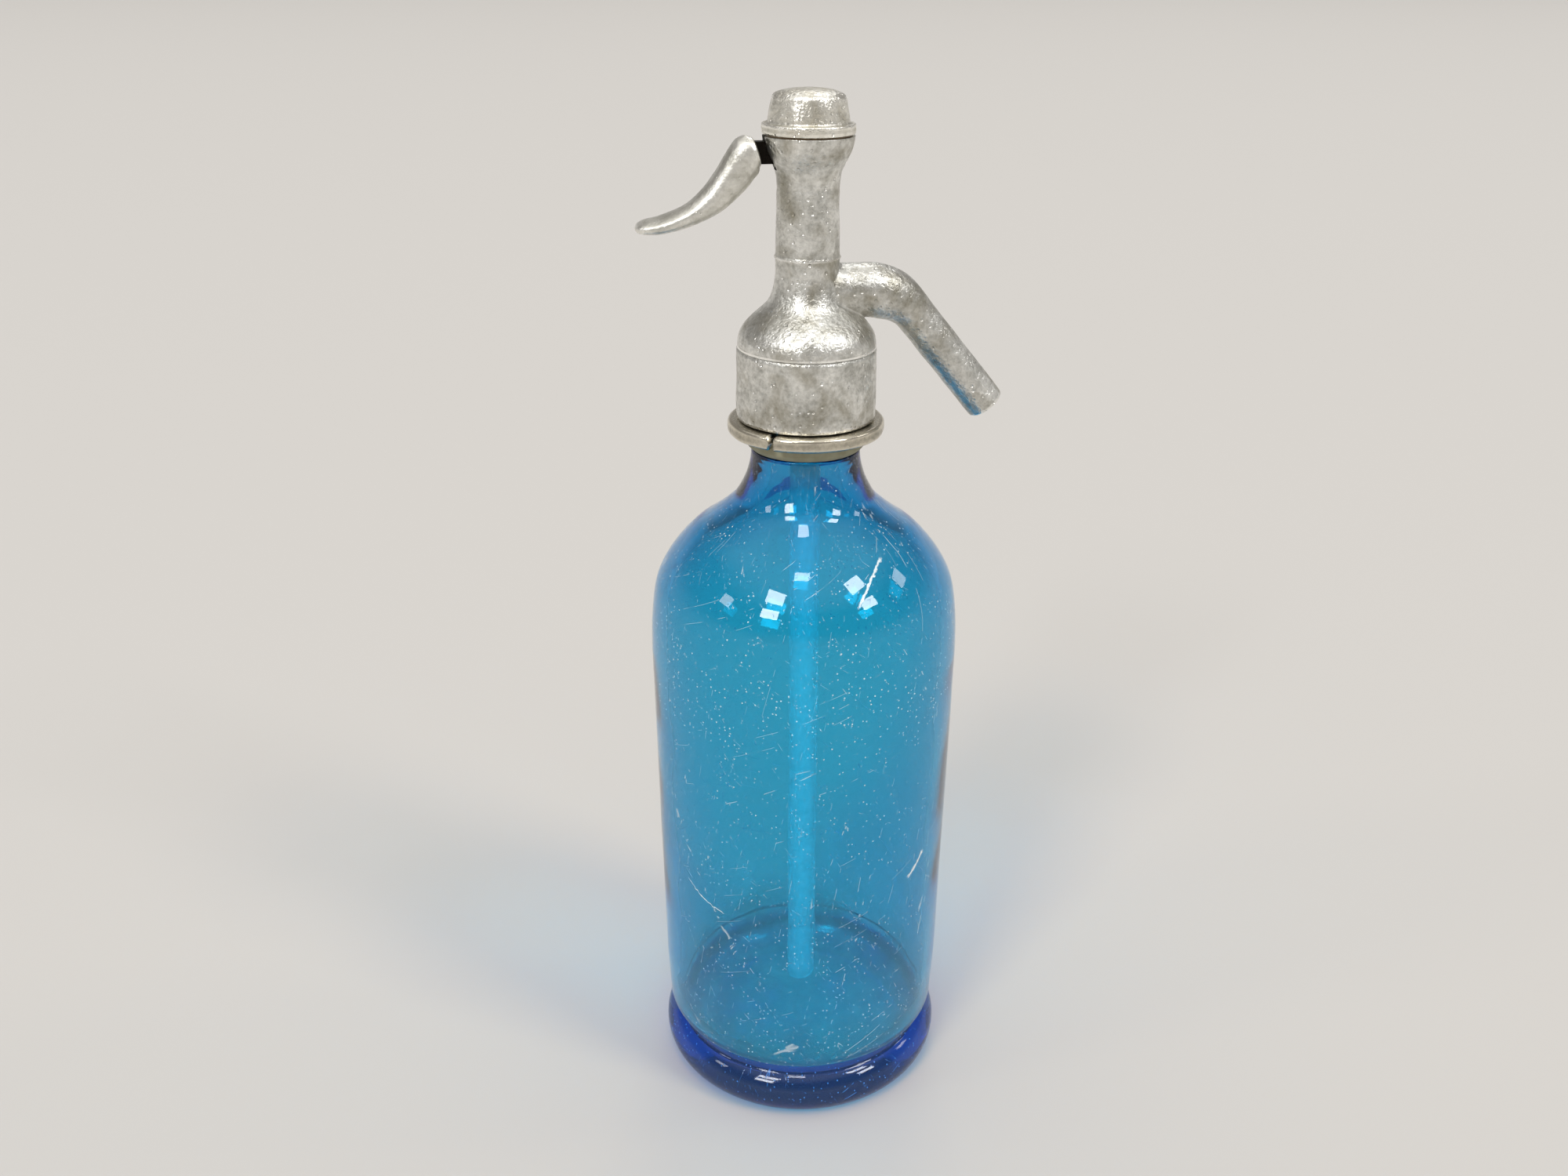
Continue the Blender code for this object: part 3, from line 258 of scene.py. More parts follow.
# the glass's whole section in one line: up the inside, over the mouth, down the outside and under the base
floor_line = rounded(mm((0, 10.9), (20, 10.6), (40.8, 10.5), (40.8, 60)), 0.018, 20)
inner_wall = np.vstack([floor_line, curved(SHOULDER_SHARES, 0.0100, 0.0421, 0.14895, 0.2086, 7)])
mouth = rounded(mm((10.0, 209), (10.0, 228), (15.6, 228), (15.6, 221.5), (13.4, 221.5), (13.4, 213.1),
                   (15.7, 213.1), (15.7, 212.6)), 0.0012)
outer_wall = curved(SHOULDER_SHARES, 0.0157, 0.0466, 0.1512, 0.2131, 7)[::-1][1:]
heel = rounded(mm((45.95, 94.6), (45.3, 38), (44.55, 24), (44.4, 20.3), (41.3, 20.0), (41.3, 15.9)),
               0.0022, 8)
round_foot = np.radians(np.linspace(FOOT_TURN, -FOOT_TURN, 25))
foot = np.column_stack([FOOT_MIDDLE[0] + FOOT_HALF[0] * np.cos(round_foot),
                        FOOT_MIDDLE[1] + FOOT_HALF[1] * np.sin(round_foot)])
base = rounded(mm((41.1, 0.5), (40.0, 0), (36.0, 0), (34.5, 1.2), (0, 1.2)), 0.0015)
glass_line = spread(np.vstack([inner_wall, mouth, outer_wall, heel, foot, base]), 0.0015)
glass = turned(glass_line, 180)
inside = np.arange(len(glass_line)) < np.argmax(glass_line[:, 1] > MOUTH_TOP)

# between foot and neck the walls wander by a tenth or two of a millimetre, outside only inwards from the
# mould's round
slack = np.where(inside, WANDER_INSIDE, WANDER_OUTSIDE)[:, None]
slack = slack * np.clip(glass_line[:, :1] / 0.03, 0, 1) ** 2
slack = slack * np.interp(glass_line[:, 1:], (0.015, 0.040, 0.190, 0.205), (0, 1, 1, 0))
wander = waves(glass, 0.060, 5) + 0.3 * waves(glass, 0.020, 6) - np.where(inside, 0, 1.0)[:, None]
glass[..., :2] *= (1 + slack * wander / np.maximum(glass_line[:, :1], 0.01))[..., None]

# lime from years of hard water clouds the inside, thickest on the floor, where it settles; scratches reach
# the outside above the ring that it stands on
limescale = np.interp(glass_line[:, 1], (0.0115, 0.018, 0.040, 0.200), (0.55, 0.42, 0.045, 0.035))
limescale = np.where(inside, limescale, np.where(glass_line[:, 1] > 0.003, -1, 0))

# soda glass coloured right through: 9 mm of it takes nearly all of the red, so it is turquoise where it is
# thin and deep blue where it is seen edgeways; scratches, scuffs and lime scatter white light
blue_glass, tree = new_tree("blown_blue_glass")
place = add(tree, "TexCoord").outputs["Object"]
axes = add(tree, "SeparateXYZ", {0: place})
# the outer wall laid out flat: distance round it by height
BODY_RADIUS = 0.046
around = add(tree, "Math", {0: axes.outputs["Y"], 1: axes.outputs["X"]}, operation="ARCTAN2")
around = add(tree, "Math", {0: around.outputs[0], 1: BODY_RADIUS}, operation="MULTIPLY")
unrolled = add(tree, "CombineXYZ", {"X": around.outputs[0], "Y": axes.outputs["Z"]}).outputs[0]


def scratches(tree, flat, turn, spacing, width, kept, seed):
    """Straight thin lines in one direction on a flat map: 1 on a line, fading to 0 at half its width.

    They lie where a noise that is stretched 30 times along the lines crosses its middle value, and are kept
    only in patches, where a second noise is over the kept value.
    """
    moved = add(tree, "Mapping", {"Vector": flat, "Location": (seed, seed, 0), "Rotation": (0, 0, turn),
                                  "Scale": (spacing * 30, spacing, 1)}, vector_type="TEXTURE")
    field = add(tree, "TexNoise", {"Vector": moved.outputs[0], "Scale": 1, "Detail": 0},
                noise_dimensions="2D")
    off = add(tree, "Math", {0: field.outputs[0], 1: 0.5}, operation="SUBTRACT")
    off = add(tree, "Math", {0: off.outputs[0]}, operation="ABSOLUTE")
    line = add(tree, "MapRange", {"Value": off.outputs[0], "From Min": 0, "From Max": width / spacing,
                                  "To Min": 1, "To Max": 0})
    patch = add(tree, "TexNoise", {"Vector": flat, "Scale": 75 + seed * 9, "Detail": 1, "Distortion": seed},
                noise_dimensions="2D")
    shown = add(tree, "MapRange", {"Value": patch.outputs[0], "From Min": kept, "From Max": kept + 0.05})
    return add(tree, "Math", {0: line.outputs[0], 1: shown.outputs[0]}, operation="MULTIPLY").outputs[0]


def gouge(tree, flat, start, end, bow, width):
    """A single scratch from start to end on a flat map: 1 along its middle, fading to 0 at width.

    Its middle is a parabola that stands off the straight line by bow half way: off = 4 bow a (1 - a), where a
    is the share of the way. It fades out over the last tenth at both ends.
    """
    way = np.subtract(end, start)
    length = math.hypot(*way)
    along, across = way / length ** 2, (-way[1] / length, way[0] / length)
    moved = add(tree, "VectorMath", {0: flat, 1: (*start, 0)}, operation="SUBTRACT").outputs[0]
    share = add(tree, "VectorMath", {0: moved, 1: (*along, 0)}, operation="DOT_PRODUCT").outputs["Value"]
    off = add(tree, "VectorMath", {0: moved, 1: (*across, 0)}, operation="DOT_PRODUCT").outputs["Value"]
    rest = add(tree, "Math", {0: 1, 1: share}, operation="SUBTRACT").outputs[0]
    arch = add(tree, "Math", {0: share, 1: rest}, operation="MULTIPLY", use_clamp=True).outputs[0]
    off = add(tree, "Math", {0: arch, 1: -4 * bow, 2: off}, operation="MULTIPLY_ADD")
    off = add(tree, "Math", {0: off.outputs[0]}, operation="ABSOLUTE")
    near = add(tree, "MapRange", {"Value": off.outputs[0], "From Min": width * 0.4, "From Max": width,
                                  "To Min": 1, "To Max": 0})
    ends = add(tree, "MapRange", {"Value": arch, "From Max": 0.09})
    return add(tree, "Math", {0: near.outputs[0], 1: ends.outputs[0]}, operation="MULTIPLY").outputs[0]


# fine ones in four directions: turn, spacing, width and kept value
FINE_SCRATCHES = ((0.4, 0.009, 0.00005, 0.60), (1.35, 0.007, 0.00004, 0.58),
                  (-0.6, 0.011, 0.00005, 0.62), (2.1, 0.006, 0.00004, 0.61))
FINE_LEVEL = 0.55
lines = 0
for seed, (turn, spacing, width, kept) in enumerate(FINE_SCRATCHES, 1):
    one = scratches(tree, unrolled, turn, spacing, width, kept, seed)
    lines = add(tree, "Math", {0: lines, 1: one}, operation="MAXIMUM").outputs[0]
lines = add(tree, "Math", {0: lines, 1: FINE_LEVEL}, operation="MULTIPLY").outputs[0]

# three deep ones with ragged sides: start and end on the unrolled wall, bow and width
DEEP_SCRATCHES = (((-0.1220, 0.0831), (-0.1061, 0.0762), -0.0012, 0.00022),
                  ((-0.0480, 0.1886), (-0.0648, 0.1786), -0.0014, 0.00042),
                  ((-0.0381, 0.0921), (-0.0456, 0.0850), 0.0006, 0.00070))
RAGGED = 0.0016
ragged = add(tree, "TexNoise", {"Vector": place, "Scale": 900, "Detail": 3})
ragged = add(tree, "VectorMath", {0: ragged.outputs["Color"], 1: (0.5, 0.5, 0)}, operation="SUBTRACT")
ragged = add(tree, "VectorMath", {0: ragged.outputs[0], 1: (RAGGED, RAGGED, 0), 2: unrolled},
             operation="MULTIPLY_ADD").outputs[0]
for start, end, bow, width in DEEP_SCRATCHES:
    one = gouge(tree, ragged, start, end, bow, width)
    lines = add(tree, "Math", {0: lines, 1: one}, operation="MAXIMUM").outputs[0]

# Flecks of up to 0.5 mm where bottles knocked together, in cells 1.1 mm apart, each as bright as its cell's
# own number. They lie thick over the heel and on the shoulder's edge: height and level there
WORN_TOP = 0.2
WORN_LEVELS = ((0.008, 0.28), (0.028, 0.30), (0.052, 0.14), (0.124, 0.16), (0.152, 0.32), (0.176, 0.14))
cells = add(tree, "TexVoronoi", {"Vector": place, "Scale": 900})
flecks = add(tree, "MapRange", {"Value": cells.outputs["Distance"], "From Min": 0.13, "From Max": 0.26,
                                "To Min": 1, "To Max": 0})
chosen = add(tree, "SeparateColor", {0: cells.outputs["Color"]})
chosen = add(tree, "MapRange", {"Value": chosen.outputs[0], "From Min": 0.48, "From Max": 0.85})
flecks = add(tree, "Math", {0: flecks.outputs[0], 1: chosen.outputs[0]}, operation="MULTIPLY")
upward = add(tree, "MapRange", {"Value": axes.outputs["Z"], "From Max": WORN_TOP})
band = add(tree, "ValToRGB", {"Fac": upward.outputs[0]})
stops = band.color_ramp.elements
stops[1].color = (0.14, 0.14, 0.14, 1)
for above, level in WORN_LEVELS:
    stops.new(above / WORN_TOP).color = (level, level, level, 1)
where = add(tree, "TexNoise", {"Vector": place, "Scale": 60, "Detail": 4, "Roughness": 0.7})
worn = add(tree, "Math", {0: where.outputs[0], 1: band.outputs[0]}, operation="ADD")
worn = add(tree, "MapRange", {"Value": worn.outputs[0], "From Min": 0.54, "From Max": 0.80})
flecked = add(tree, "Math", {0: flecks.outputs[0], 1: worn.outputs[0]}, operation="MULTIPLY").outputs[0]

mark = add(tree, "Attribute", attribute_name="mark").outputs["Fac"]
outside = add(tree, "Math", {0: mark, 1: -1}, operation="MULTIPLY", use_clamp=True).outputs[0]
marks = add(tree, "Math", {0: lines, 1: flecked}, operation="MAXIMUM").outputs[0]
marks = add(tree, "Math", {0: marks, 1: outside}, operation="MULTIPLY").outputs[0]

# the lime lies in clouds of about 20 mm, which tint the glass a greenish grey
cloud = add(tree, "TexNoise", {"Vector": place, "Scale": 45, "Detail": 5, "Roughness": 0.65})
cloud = add(tree, "MapRange", {"Value": cloud.outputs[0], "From Min": 0.3, "From Max": 0.7, "To Min": 0.6,
                               "To Max": 1.4})
film = add(tree, "Math", {0: cloud.outputs[0], 1: mark}, operation="MULTIPLY", use_clamp=True)
limed = add(tree, "Math", {0: film.outputs[0], 1: 2}, operation="MULTIPLY", use_clamp=True)

# the foot ring is solid glass, outside the inner wall and below the waist; seeds in it scatter some light
INNER_RADIUS, WAIST_LOW, WAIST_HIGH, FOOT_SCATTER = 0.0409, 0.018, 0.022, 0.09
flat_place = add(tree, "VectorMath", {0: place, 1: (1, 1, 0)}, operation="MULTIPLY")
reach = add(tree, "VectorMath", {0: flat_place.outputs[0]}, operation="LENGTH").outputs["Value"]
outer = add(tree, "Math", {0: reach, 1: INNER_RADIUS}, operation="GREATER_THAN").outputs[0]
solid = add(tree, "MapRange", {"Value": axes.outputs["Z"], "From Min": WAIST_LOW, "From Max": WAIST_HIGH,
                               "To Min": 1, "To Max": 0})
solid = add(tree, "Math", {0: solid.outputs[0], 1: outer}, operation="MULTIPLY").outputs[0]

MARK_SCATTER = 0.85
hidden = add(tree, "Math", {0: marks, 1: MARK_SCATTER, 2: film.outputs[0]}, operation="MULTIPLY_ADD")
hidden = add(tree, "Math", {0: solid, 1: FOOT_SCATTER, 2: hidden.outputs[0]}, operation="MULTIPLY_ADD")
clear = add(tree, "Math", {0: 1, 1: hidden.outputs[0]}, operation="SUBTRACT", use_clamp=True)
body_colour = add(tree, "MixRGB", {"Fac": limed.outputs[0], 1: linear("eef6f8"), 2: linear("8fb0a4")})
body_colour = add(tree, "MixRGB", {"Fac": solid, 1: body_colour.outputs[0], 2: linear("3f93e8")})
roughness = add(tree, "MapRange", {"Value": hidden.outputs[0], "To Min": 0.02, "To Max": 0.35})
dent = add(tree, "Bump", {"Height": marks, "Strength": 0.25, "Distance": 0.0001}, invert=True)
shader = add(tree, "BsdfPrincipled", {"Base Color": body_colour.outputs[0], "Roughness": roughness.outputs[0],
                                      "IOR": 1.5, "Transmission Weight": clear.outputs[0],
                                      "Normal": dent.outputs[0]})
depth = add(tree, "VolumeAbsorption", {"Color": linear("3af1fb"), "Density": 567})


def lit_inside(tree, glass):
    """The glass shader, but clear to rays on their way to a lamp, so that lamps light what is inside."""
    way = add(tree, "BsdfTransparent", {"Color": linear("f6f6f6")})
    shadow = add(tree, "LightPath").outputs["Is Shadow Ray"]
    return add(tree, "MixShader", {0: shadow, 1: glass.outputs[0], 2: way.outputs[0]}).outputs[0]


add(tree, "OutputMaterial", {"Surface": lit_inside(tree, shader), "Volume": depth.outputs[0]})
bottle = surface("blown_bottle", glass, blue_glass, mark=limescale[:, None])
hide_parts("bottle")

# Dip tube: a plain glass tube that hangs from the head nearly to the floor, with its end fire-polished. A
# rubber grommet seals it in the head, and a brass nut squeezes the grommet.
tube_glass, tree = new_tree("clear_tube_glass")
# colourless glass with a film of lime in streaks of 6 mm, which makes it pale and half clear
place = add(tree, "TexCoord").outputs["Object"]
streaks = add(tree, "TexNoise", {"Vector": place, "Scale": 160, "Detail": 2})
cloud = add(tree, "MapRange", {"Value": streaks.outputs[0], "To Min": 0.02, "To Max": 0.12})
clear = add(tree, "MapRange", {"Value": streaks.outputs[0], "To Min": 0.85, "To Max": 0.55})
shader = add(tree, "BsdfPrincipled", {"Base Color": linear("f8fdfd"), "Roughness": cloud.outputs[0],
                                      "IOR": 1.47, "Transmission Weight": clear.outputs[0]})
add(tree, "OutputMaterial", {"Surface": lit_inside(tree, shader)})
tube_line = rounded(mm((3.0, 239.7), (4.6, 239.7), (4.6, 25.0), (3.0, 25.0), (3.0, 239.7)), 0.0007)
tube = surface("glass_dip_tube", turned(spread(tube_line, 0.004)[:-1], 48), tube_glass, ring=True)
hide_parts("dip_tube")


def rubber(name, colour, chalk):
    """Old rubber: matt, its colour mixed with a chalky bloom by a noise in clouds of about 3 mm."""
    made, tree = new_tree(name)
    place = add(tree, "TexCoord").outputs["Object"]
    bloom = add(tree, "TexNoise", {"Vector": place, "Scale": 330, "Detail": 5})
    mixed = add(tree, "MixRGB", {"Fac": bloom.outputs[0], 1: linear(colour), 2: linear(chalk)})
    dent = add(tree, "Bump", {"Height": bloom.outputs[0], "Strength": 0.4, "Distance": 0.0002})
    shader = add(tree, "BsdfPrincipled", {"Base Color": mixed.outputs[0], "Roughness": 0.72,
                                          "Normal": dent.outputs[0]})
    add(tree, "OutputMaterial", {"Surface": shader.outputs[0]})
    return made


def metal(name, dark, pale, rough, grain, depth, pits=0.0, edges=True, stain=None):
    """Worn metal whose tone, from dark to pale, is the sum of clouds of 8 mm, a grain and the rubbed edges.

    The paler it is, the glossier. grain is the grit's size and depth its height, both in metres; pits is the
    radius of its casting pits as a share of the 1.8 grains between them. stain is the colour of tarnish that
    lies over it in patches of 10 mm.
    """
    made, tree = new_tree(name)
    place = add(tree, "TexCoord").outputs["Object"]
    clouds = add(tree, "TexNoise", {"Vector": place, "Scale": 130, "Detail": 6, "Roughness": 0.62})
    tone = add(tree, "MapRange", {"Value": clouds.outputs[0], "From Min": 0.30, "From Max": 0.70})
    grit = add(tree, "TexNoise", {"Vector": place, "Scale": 1 / grain, "Detail": 3, "Roughness": 0.6})
    tone = add(tree, "Math", {0: tone.outputs[0], 1: 0.55, 2: grit.outputs[0]}, operation="MULTIPLY_ADD")
    tone = add(tree, "Math", {0: tone.outputs[0], 1: 0.28}, operation="SUBTRACT")
    high = grit.outputs[0]
    if pits:
        cells = add(tree, "TexVoronoi", {"Vector": place, "Scale": 0.55 / grain})
        holes = add(tree, "MapRange", {"Value": cells.outputs["Distance"], "From Min": pits,
                                       "From Max": pits * 1.8})
        high = add(tree, "Math", {0: high, 1: holes.outputs[0]}, operation="MULTIPLY").outputs[0]
    if edges:
        rubbed = add(tree, "Attribute", attribute_name="mark").outputs["Fac"]
        tone = add(tree, "Math", {0: rubbed, 1: 0.9, 2: tone.outputs[0]}, operation="MULTIPLY_ADD")
    mixed = add(tree, "MixRGB", {"Fac": tone.outputs[0], 1: linear(dark), 2: linear(pale)}, use_clamp=True)
    if stain:
        patch = add(tree, "TexNoise", {"Vector": place, "Scale": 95, "Detail": 5, "Roughness": 0.6,
                                       "Distortion": 0.6})
        patch = add(tree, "MapRange", {"Value": patch.outputs[0], "From Min": 0.46, "From Max": 0.72,
                                       "To Max": 0.75})
        mixed = add(tree, "MixRGB", {"Fac": patch.outputs[0], 1: mixed.outputs[0], 2: linear(stain)})
    gloss = add(tree, "MapRange", {"Value": tone.outputs[0], "To Min": rough + 0.14, "To Max": rough - 0.06})
    dent = add(tree, "Bump", {"Height": high, "Strength": 1, "Distance": depth})
    shader = add(tree, "BsdfPrincipled", {"Base Color": mixed.outputs[0], "Metallic": 1,
                                          "Roughness": gloss.outputs[0], "Normal": dent.outputs[0]})
    add(tree, "OutputMaterial", {"Surface": shader.outputs[0]})
    return made


def dress(nodes, finish):
    """Gives CAD nodes a finish in place of their plain one."""
    for name in nodes:
        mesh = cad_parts[name].data
        mesh.materials.clear()
        mesh.materials.append(finish)


# moulded red rubber, dull and chalky with age
brick_rubber = rubber("brick_red_rubber", "6b2f22", "8f5b4c")
# brass turned on a lathe: warm yellow, half bright, with a fine grain
turned_brass = metal("turned_brass", "8a6a34", "c9a860", 0.32, 0.0006, 0.00002, edges=False)
dress(("tube_grommet", "mouth_gasket"), brick_rubber)
dress(("tube_nut",), turned_brass)

# Neck ring: two turned and tinned half rings that hook under the glass lip. The head screws down over their
# thread, so only the bead and the slit between the halves show.
BEAD_SLIT, BEAD_TURN, RING_WANDER = 0.0020, math.radians(52), 0.00008


def edge_wear(profile, reach=0.0006):
    """How convex a profile is near each point: its tangent's turn over twice reach, 1 from 1.2 radians up."""
    steps = np.diff(profile, axis=0)
    lengths = np.linalg.norm(steps, axis=1)
    middles = np.cumsum(lengths) - lengths / 2
    slope = np.unwrap(np.arctan2(steps[:, 1], steps[:, 0]))
    places = np.append(0, np.cumsum(lengths))
    turn = np.interp(places - reach, middles, slope) - np.interp(places + reach, middles, slope)
    return np.clip(turn / 1.2, 0, 1)[:, None]


# tin wiped on a turned ring: warm grey and brighter than the casting, with low ridges. They are drawn
# 1.2 mm apart so that they show
tinned = metal("turned_tinned_ring", "706d62", "d4cdbc", 0.27, 0.0012, 0.00007)
ring_line = rounded(mm((15.9, 226.9), (17.9, 226.9), (17.9, 222.1), (20.4, 222.1), (22.4, 221.9),
                       (22.6, 220.0), (22.4, 218.1), (20.4, 217.9), (13.7, 217.9), (13.7, 221.2),
                       (15.9, 221.2), (15.9, 226.9)), 0.0017, 8)
ring_line = spread(ring_line, 0.0006)[:-1]
for name, start in (("front", math.pi), ("back", 0)):
    # each half's ends lie along the slit's two parallel sides, so a point's angle depends on its radius
    share = np.linspace(0, 1, 120)[:, None]
    spare = np.arcsin(BEAD_SLIT / 2 / ring_line[:, 0])
    angle = BEAD_TURN + start + spare + (math.pi - 2 * spare) * share
    wobble = waves(np.stack([angle, 0 * angle, 0 * angle], -1) * 0.02, 0.01, 3)
    radius = ring_line[:, 0] + RING_WANDER * wobble
    half = np.stack([radius * np.cos(angle), radius * np.sin(angle), ring_line[:, 1] + 0 * angle], axis=-1)
    half_ring = surface("tinned_half_ring_" + name, half[::-1], tinned, caps=True,
                        mark=edge_wear(ring_line).T)
    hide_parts("half_ring_" + name)

# Neck packing: a moulded rubber ring that is squeezed between the half rings and the glass. Its chamfered
# lip shows below the bead, gone olive grey with age.
olive_rubber = rubber("olive_packing_rubber", "7f7d62", "aeab92")
lip_line = rounded(mm((13.7, 217.6), (17.3, 217.6), (17.3, 214.8), (15.9, 213.4), (13.7, 213.4),
                      (13.7, 217.6)), 0.0006)
lip = surface("packing_lip", turned(spread(lip_line, 0.001)[:-1], 96), olive_rubber, ring=True)
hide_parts("neck_packing")

# Head: one pewter casting, skirt, dome, column and bulb, with the pitted skin of its mould. A turned line
# runs round the skirt's top and a fine bead round the column; a slot in the bulb lets the lever's tongue in.
BULB_SHARES = np.array(((0, 0), (0.160, 0.045), (0.310, 0.165), (0.450, 0.370), (0.590, 0.620),
                        (0.730, 0.825), (0.870, 0.950), (1, 1)))
DOME_SHARES = np.array(((0, 1), (0.080, 0.998), (0.162, 0.968), (0.250, 0.890), (0.338, 0.765),
                        (0.431, 0.588), (0.525, 0.378), (0.613, 0.216), (0.706, 0.120), (0.829, 0.046),
                        (1, 0)))
BORE_REACH, HEAD_WANDER, BEAD_HEIGHT, BEAD_HALF = 0.0083, 0.00010, 0.2677, 0.001
# low and high corners in millimetres of what is cut out of the casting: the slot that the tongue swings in,
# the grooves that the pin lies in, and the port through which the drink reaches the spout
TONGUE_SLOT = (-14.5, -2.1, 290.9), (-3.3, 2.1, 301.3)
PIN_GROOVES = (-8.95, -4.0, 293.2), (-6.25, 4.0, 301.3)
SPOUT_PORT = (4.0, -3.6, 254.4), (10.6, 3.6, 261.6)

bulb = curved(BULB_SHARES, 0.00845, 0.01245, 0.2866, 0.2995)
column = mm((8.45, 286.5), (8.39, 286.1), (8.46, 285.7), (8.85, 268.6), (8.95, 268.2), (9.25, 267.7),
            (8.95, 267.2), (8.9, 266.8))
dome = curved(DOME_SHARES, 0.0089, 0.0196, 0.2426, 0.263)
skirt = mm((19.55, 242.75), (19.35, 242.55), (19.75, 242.3), (20.0, 227.4), (20.0, 222.8), (19.6, 222.4))
cavity = mm((18.2, 222.4), (18.2, 230.6), (8.2, 230.6), (8.2, 240.0), (3.0, 240.0), (3.0, 246.0),
            (5.6, 246.0), (5.6, 266.0), (6.6, 266.0), (6.6, 296.9), (9.1, 296.9), (9.1, 299.58),
            (12.3, 299.58))
head_line = np.vstack([bulb[::-1], column, dome[::-1], skirt, cavity, bulb[-1:]])
head_line = spread(head_line, 0.0011)[:-1]
casting = turned(head_line, 168)
# the mould's unevenness, over all but the inner bores and the turned bead
uneven = np.where(head_line[:, 0] > BORE_REACH, HEAD_WANDER, 0)[:, None]
uneven = uneven * (np.abs(head_line[:, 1:] - BEAD_HEIGHT) > BEAD_HALF)
casting[..., :2] *= (1 + uneven * waves(casting, 0.009, 11) / head_line[:, :1])[..., None]
# cast pewter: grey and half bright, with a grainy, pitted skin and brown tarnish. The real grain is about
# 0.5 mm; it is drawn at 1.3 mm so that it shows
cast_pewter = metal("cast_pewter", "8f8e86", "fffef9", 0.32, 0.0013, 0.00032, pits=0.12, stain="8c8570")
head = surface("pewter_head", casting, cast_pewter, ring=True, mark=edge_wear(head_line))


def cut(piece, low, high):
    """Takes the box between two corners, in millimetres, out of a piece, and keeps the result as its mesh."""
    low, high = mm(low, high)
    corners = np.array([[x, y, z] for x in (0, 1) for y in (0, 1) for z in (0, 1)])
    mesh = bpy.data.meshes.new("cutter")
    mesh.from_pydata((low + corners * (high - low)).tolist(), [],
                     [(0, 1, 3, 2), (4, 6, 7, 5), (0, 4, 5, 1), (2, 3, 7, 6), (0, 2, 6, 4), (1, 5, 7, 3)])
    blade = bpy.data.objects.new("cutter", mesh)
    bpy.context.scene.collection.objects.link(blade)
    boolean = piece.modifiers.new("cut", "BOOLEAN")
    boolean.object = blade
    graph = bpy.context.evaluated_depsgraph_get()
    made = bpy.data.meshes.new_from_object(piece.evaluated_get(graph))
    piece.modifiers.clear()
    piece.data = made
    bpy.data.objects.remove(blade)


for low, high in (TONGUE_SLOT, PIN_GROOVES, SPOUT_PORT):
    cut(head, low, high)
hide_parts("head_body")

# Spout: a pewter tube, bent while it was still a straight casting and thinned towards its mouth, then
# soldered to the column. The solder leaves a small hollow fillet all round the root.
BEND_START, BEND_RADIUS, BEND, STRAIGHT, SPOUT_HEIGHT = 0.0160, 0.0192, math.radians(50.3), 0.0362, 0.2580
ROOT_RADIUS, END_RADIUS, BORE, FILLET, FILLET_SUNK = 0.0075, 0.0057, 0.0041, 0.0011, 0.0002
THIN_START, THIN_LENGTH, LIP_ROUND, SPOUT_WANDER = 0.0215, 0.0125, 0.0004, 0.00008
# the bore's rings lie from here along the middle line to this far short of the mouth
BORE_START, BORE_SHORT = 0.0066, 0.002


def spout_place(along):
    """Centre and direction of the spout's middle line at a distance along it from the column's axis.

    Level up to the bend, then a circular arc, then straight down the slope.
    """
    turn = np.clip((along - BEND_START) / BEND_RADIUS, 0, BEND)
    after = np.maximum(along - BEND_START - BEND_RADIUS * BEND, 0)
    level = np.minimum(along, BEND_START)
    x = level + BEND_RADIUS * np.sin(turn) + after * math.cos(BEND)
    z = SPOUT_HEIGHT - BEND_RADIUS * (1 - np.cos(turn)) - after * math.sin(BEND)
    return np.stack([x, 0 * x, z], -1), np.stack([np.cos(turn), 0 * x, -np.sin(turn)], -1)


angle = np.linspace(0, 2 * math.pi, 96, endpoint=False)
outer_line = head_line[:len(head_line) // 2]
order = np.argsort(outer_line[:, 1])


def column_face(radius):
    """How far out along X the casting's face lies, on a circle of that radius round the spout's axis.

    The casting is round, so that is the root of its radius at the point's height squared less y squared.
    """
    upward = np.sin(angle) * radius
    out = np.interp(SPOUT_HEIGHT + upward, outer_line[order, 1], outer_line[order, 0])
    return np.sqrt(np.maximum(out ** 2 - (np.cos(angle) * radius) ** 2, 0))


# each ring of the tube's skin is a row of distances along the middle line and of radii: the fillet from the
# casting's face, the barrel, the rounded lip, and the bore back to the port
curl = np.linspace(0, math.pi / 2, 9)[:, None]
fillet_radius = ROOT_RADIUS + FILLET * (1 - np.sin(curl)) + 0 * angle
fillet_along = np.array([column_face(r) for r in fillet_radius[:, 0]]) + FILLET * (1 - np.cos(curl))
fillet_along = fillet_along - FILLET_SUNK
length = BEND_START + BEND_RADIUS * BEND + STRAIGHT
share = np.linspace(0, 1, 110)[1:, None]
barrel_along = fillet_along[-1:] + (length - fillet_along[-1:]) * share
thin = np.clip((barrel_along - THIN_START) / THIN_LENGTH, 0, 1)
barrel_radius = ROOT_RADIUS + (END_RADIUS - ROOT_RADIUS) * thin * thin * (3 - 2 * thin)
barrel_along[-1] = length - LIP_ROUND
lip_turn = np.linspace(0, math.pi, 9)[1:, None]
half_wall = (END_RADIUS - BORE) / 2
end_along = length - LIP_ROUND + LIP_ROUND * np.sin(lip_turn) + 0 * angle
end_radius = BORE + half_wall + half_wall * np.cos(lip_turn) + 0 * angle
bore_along = np.linspace(length - BORE_SHORT, BORE_START, 60)[:, None] + 0 * angle
along = np.vstack([fillet_along, barrel_along, end_along, bore_along])
radius = np.vstack([fillet_radius, barrel_radius, end_radius, 0 * bore_along + BORE])
centre, ahead = spout_place(along)
side = np.array([0.0, 1.0, 0.0])
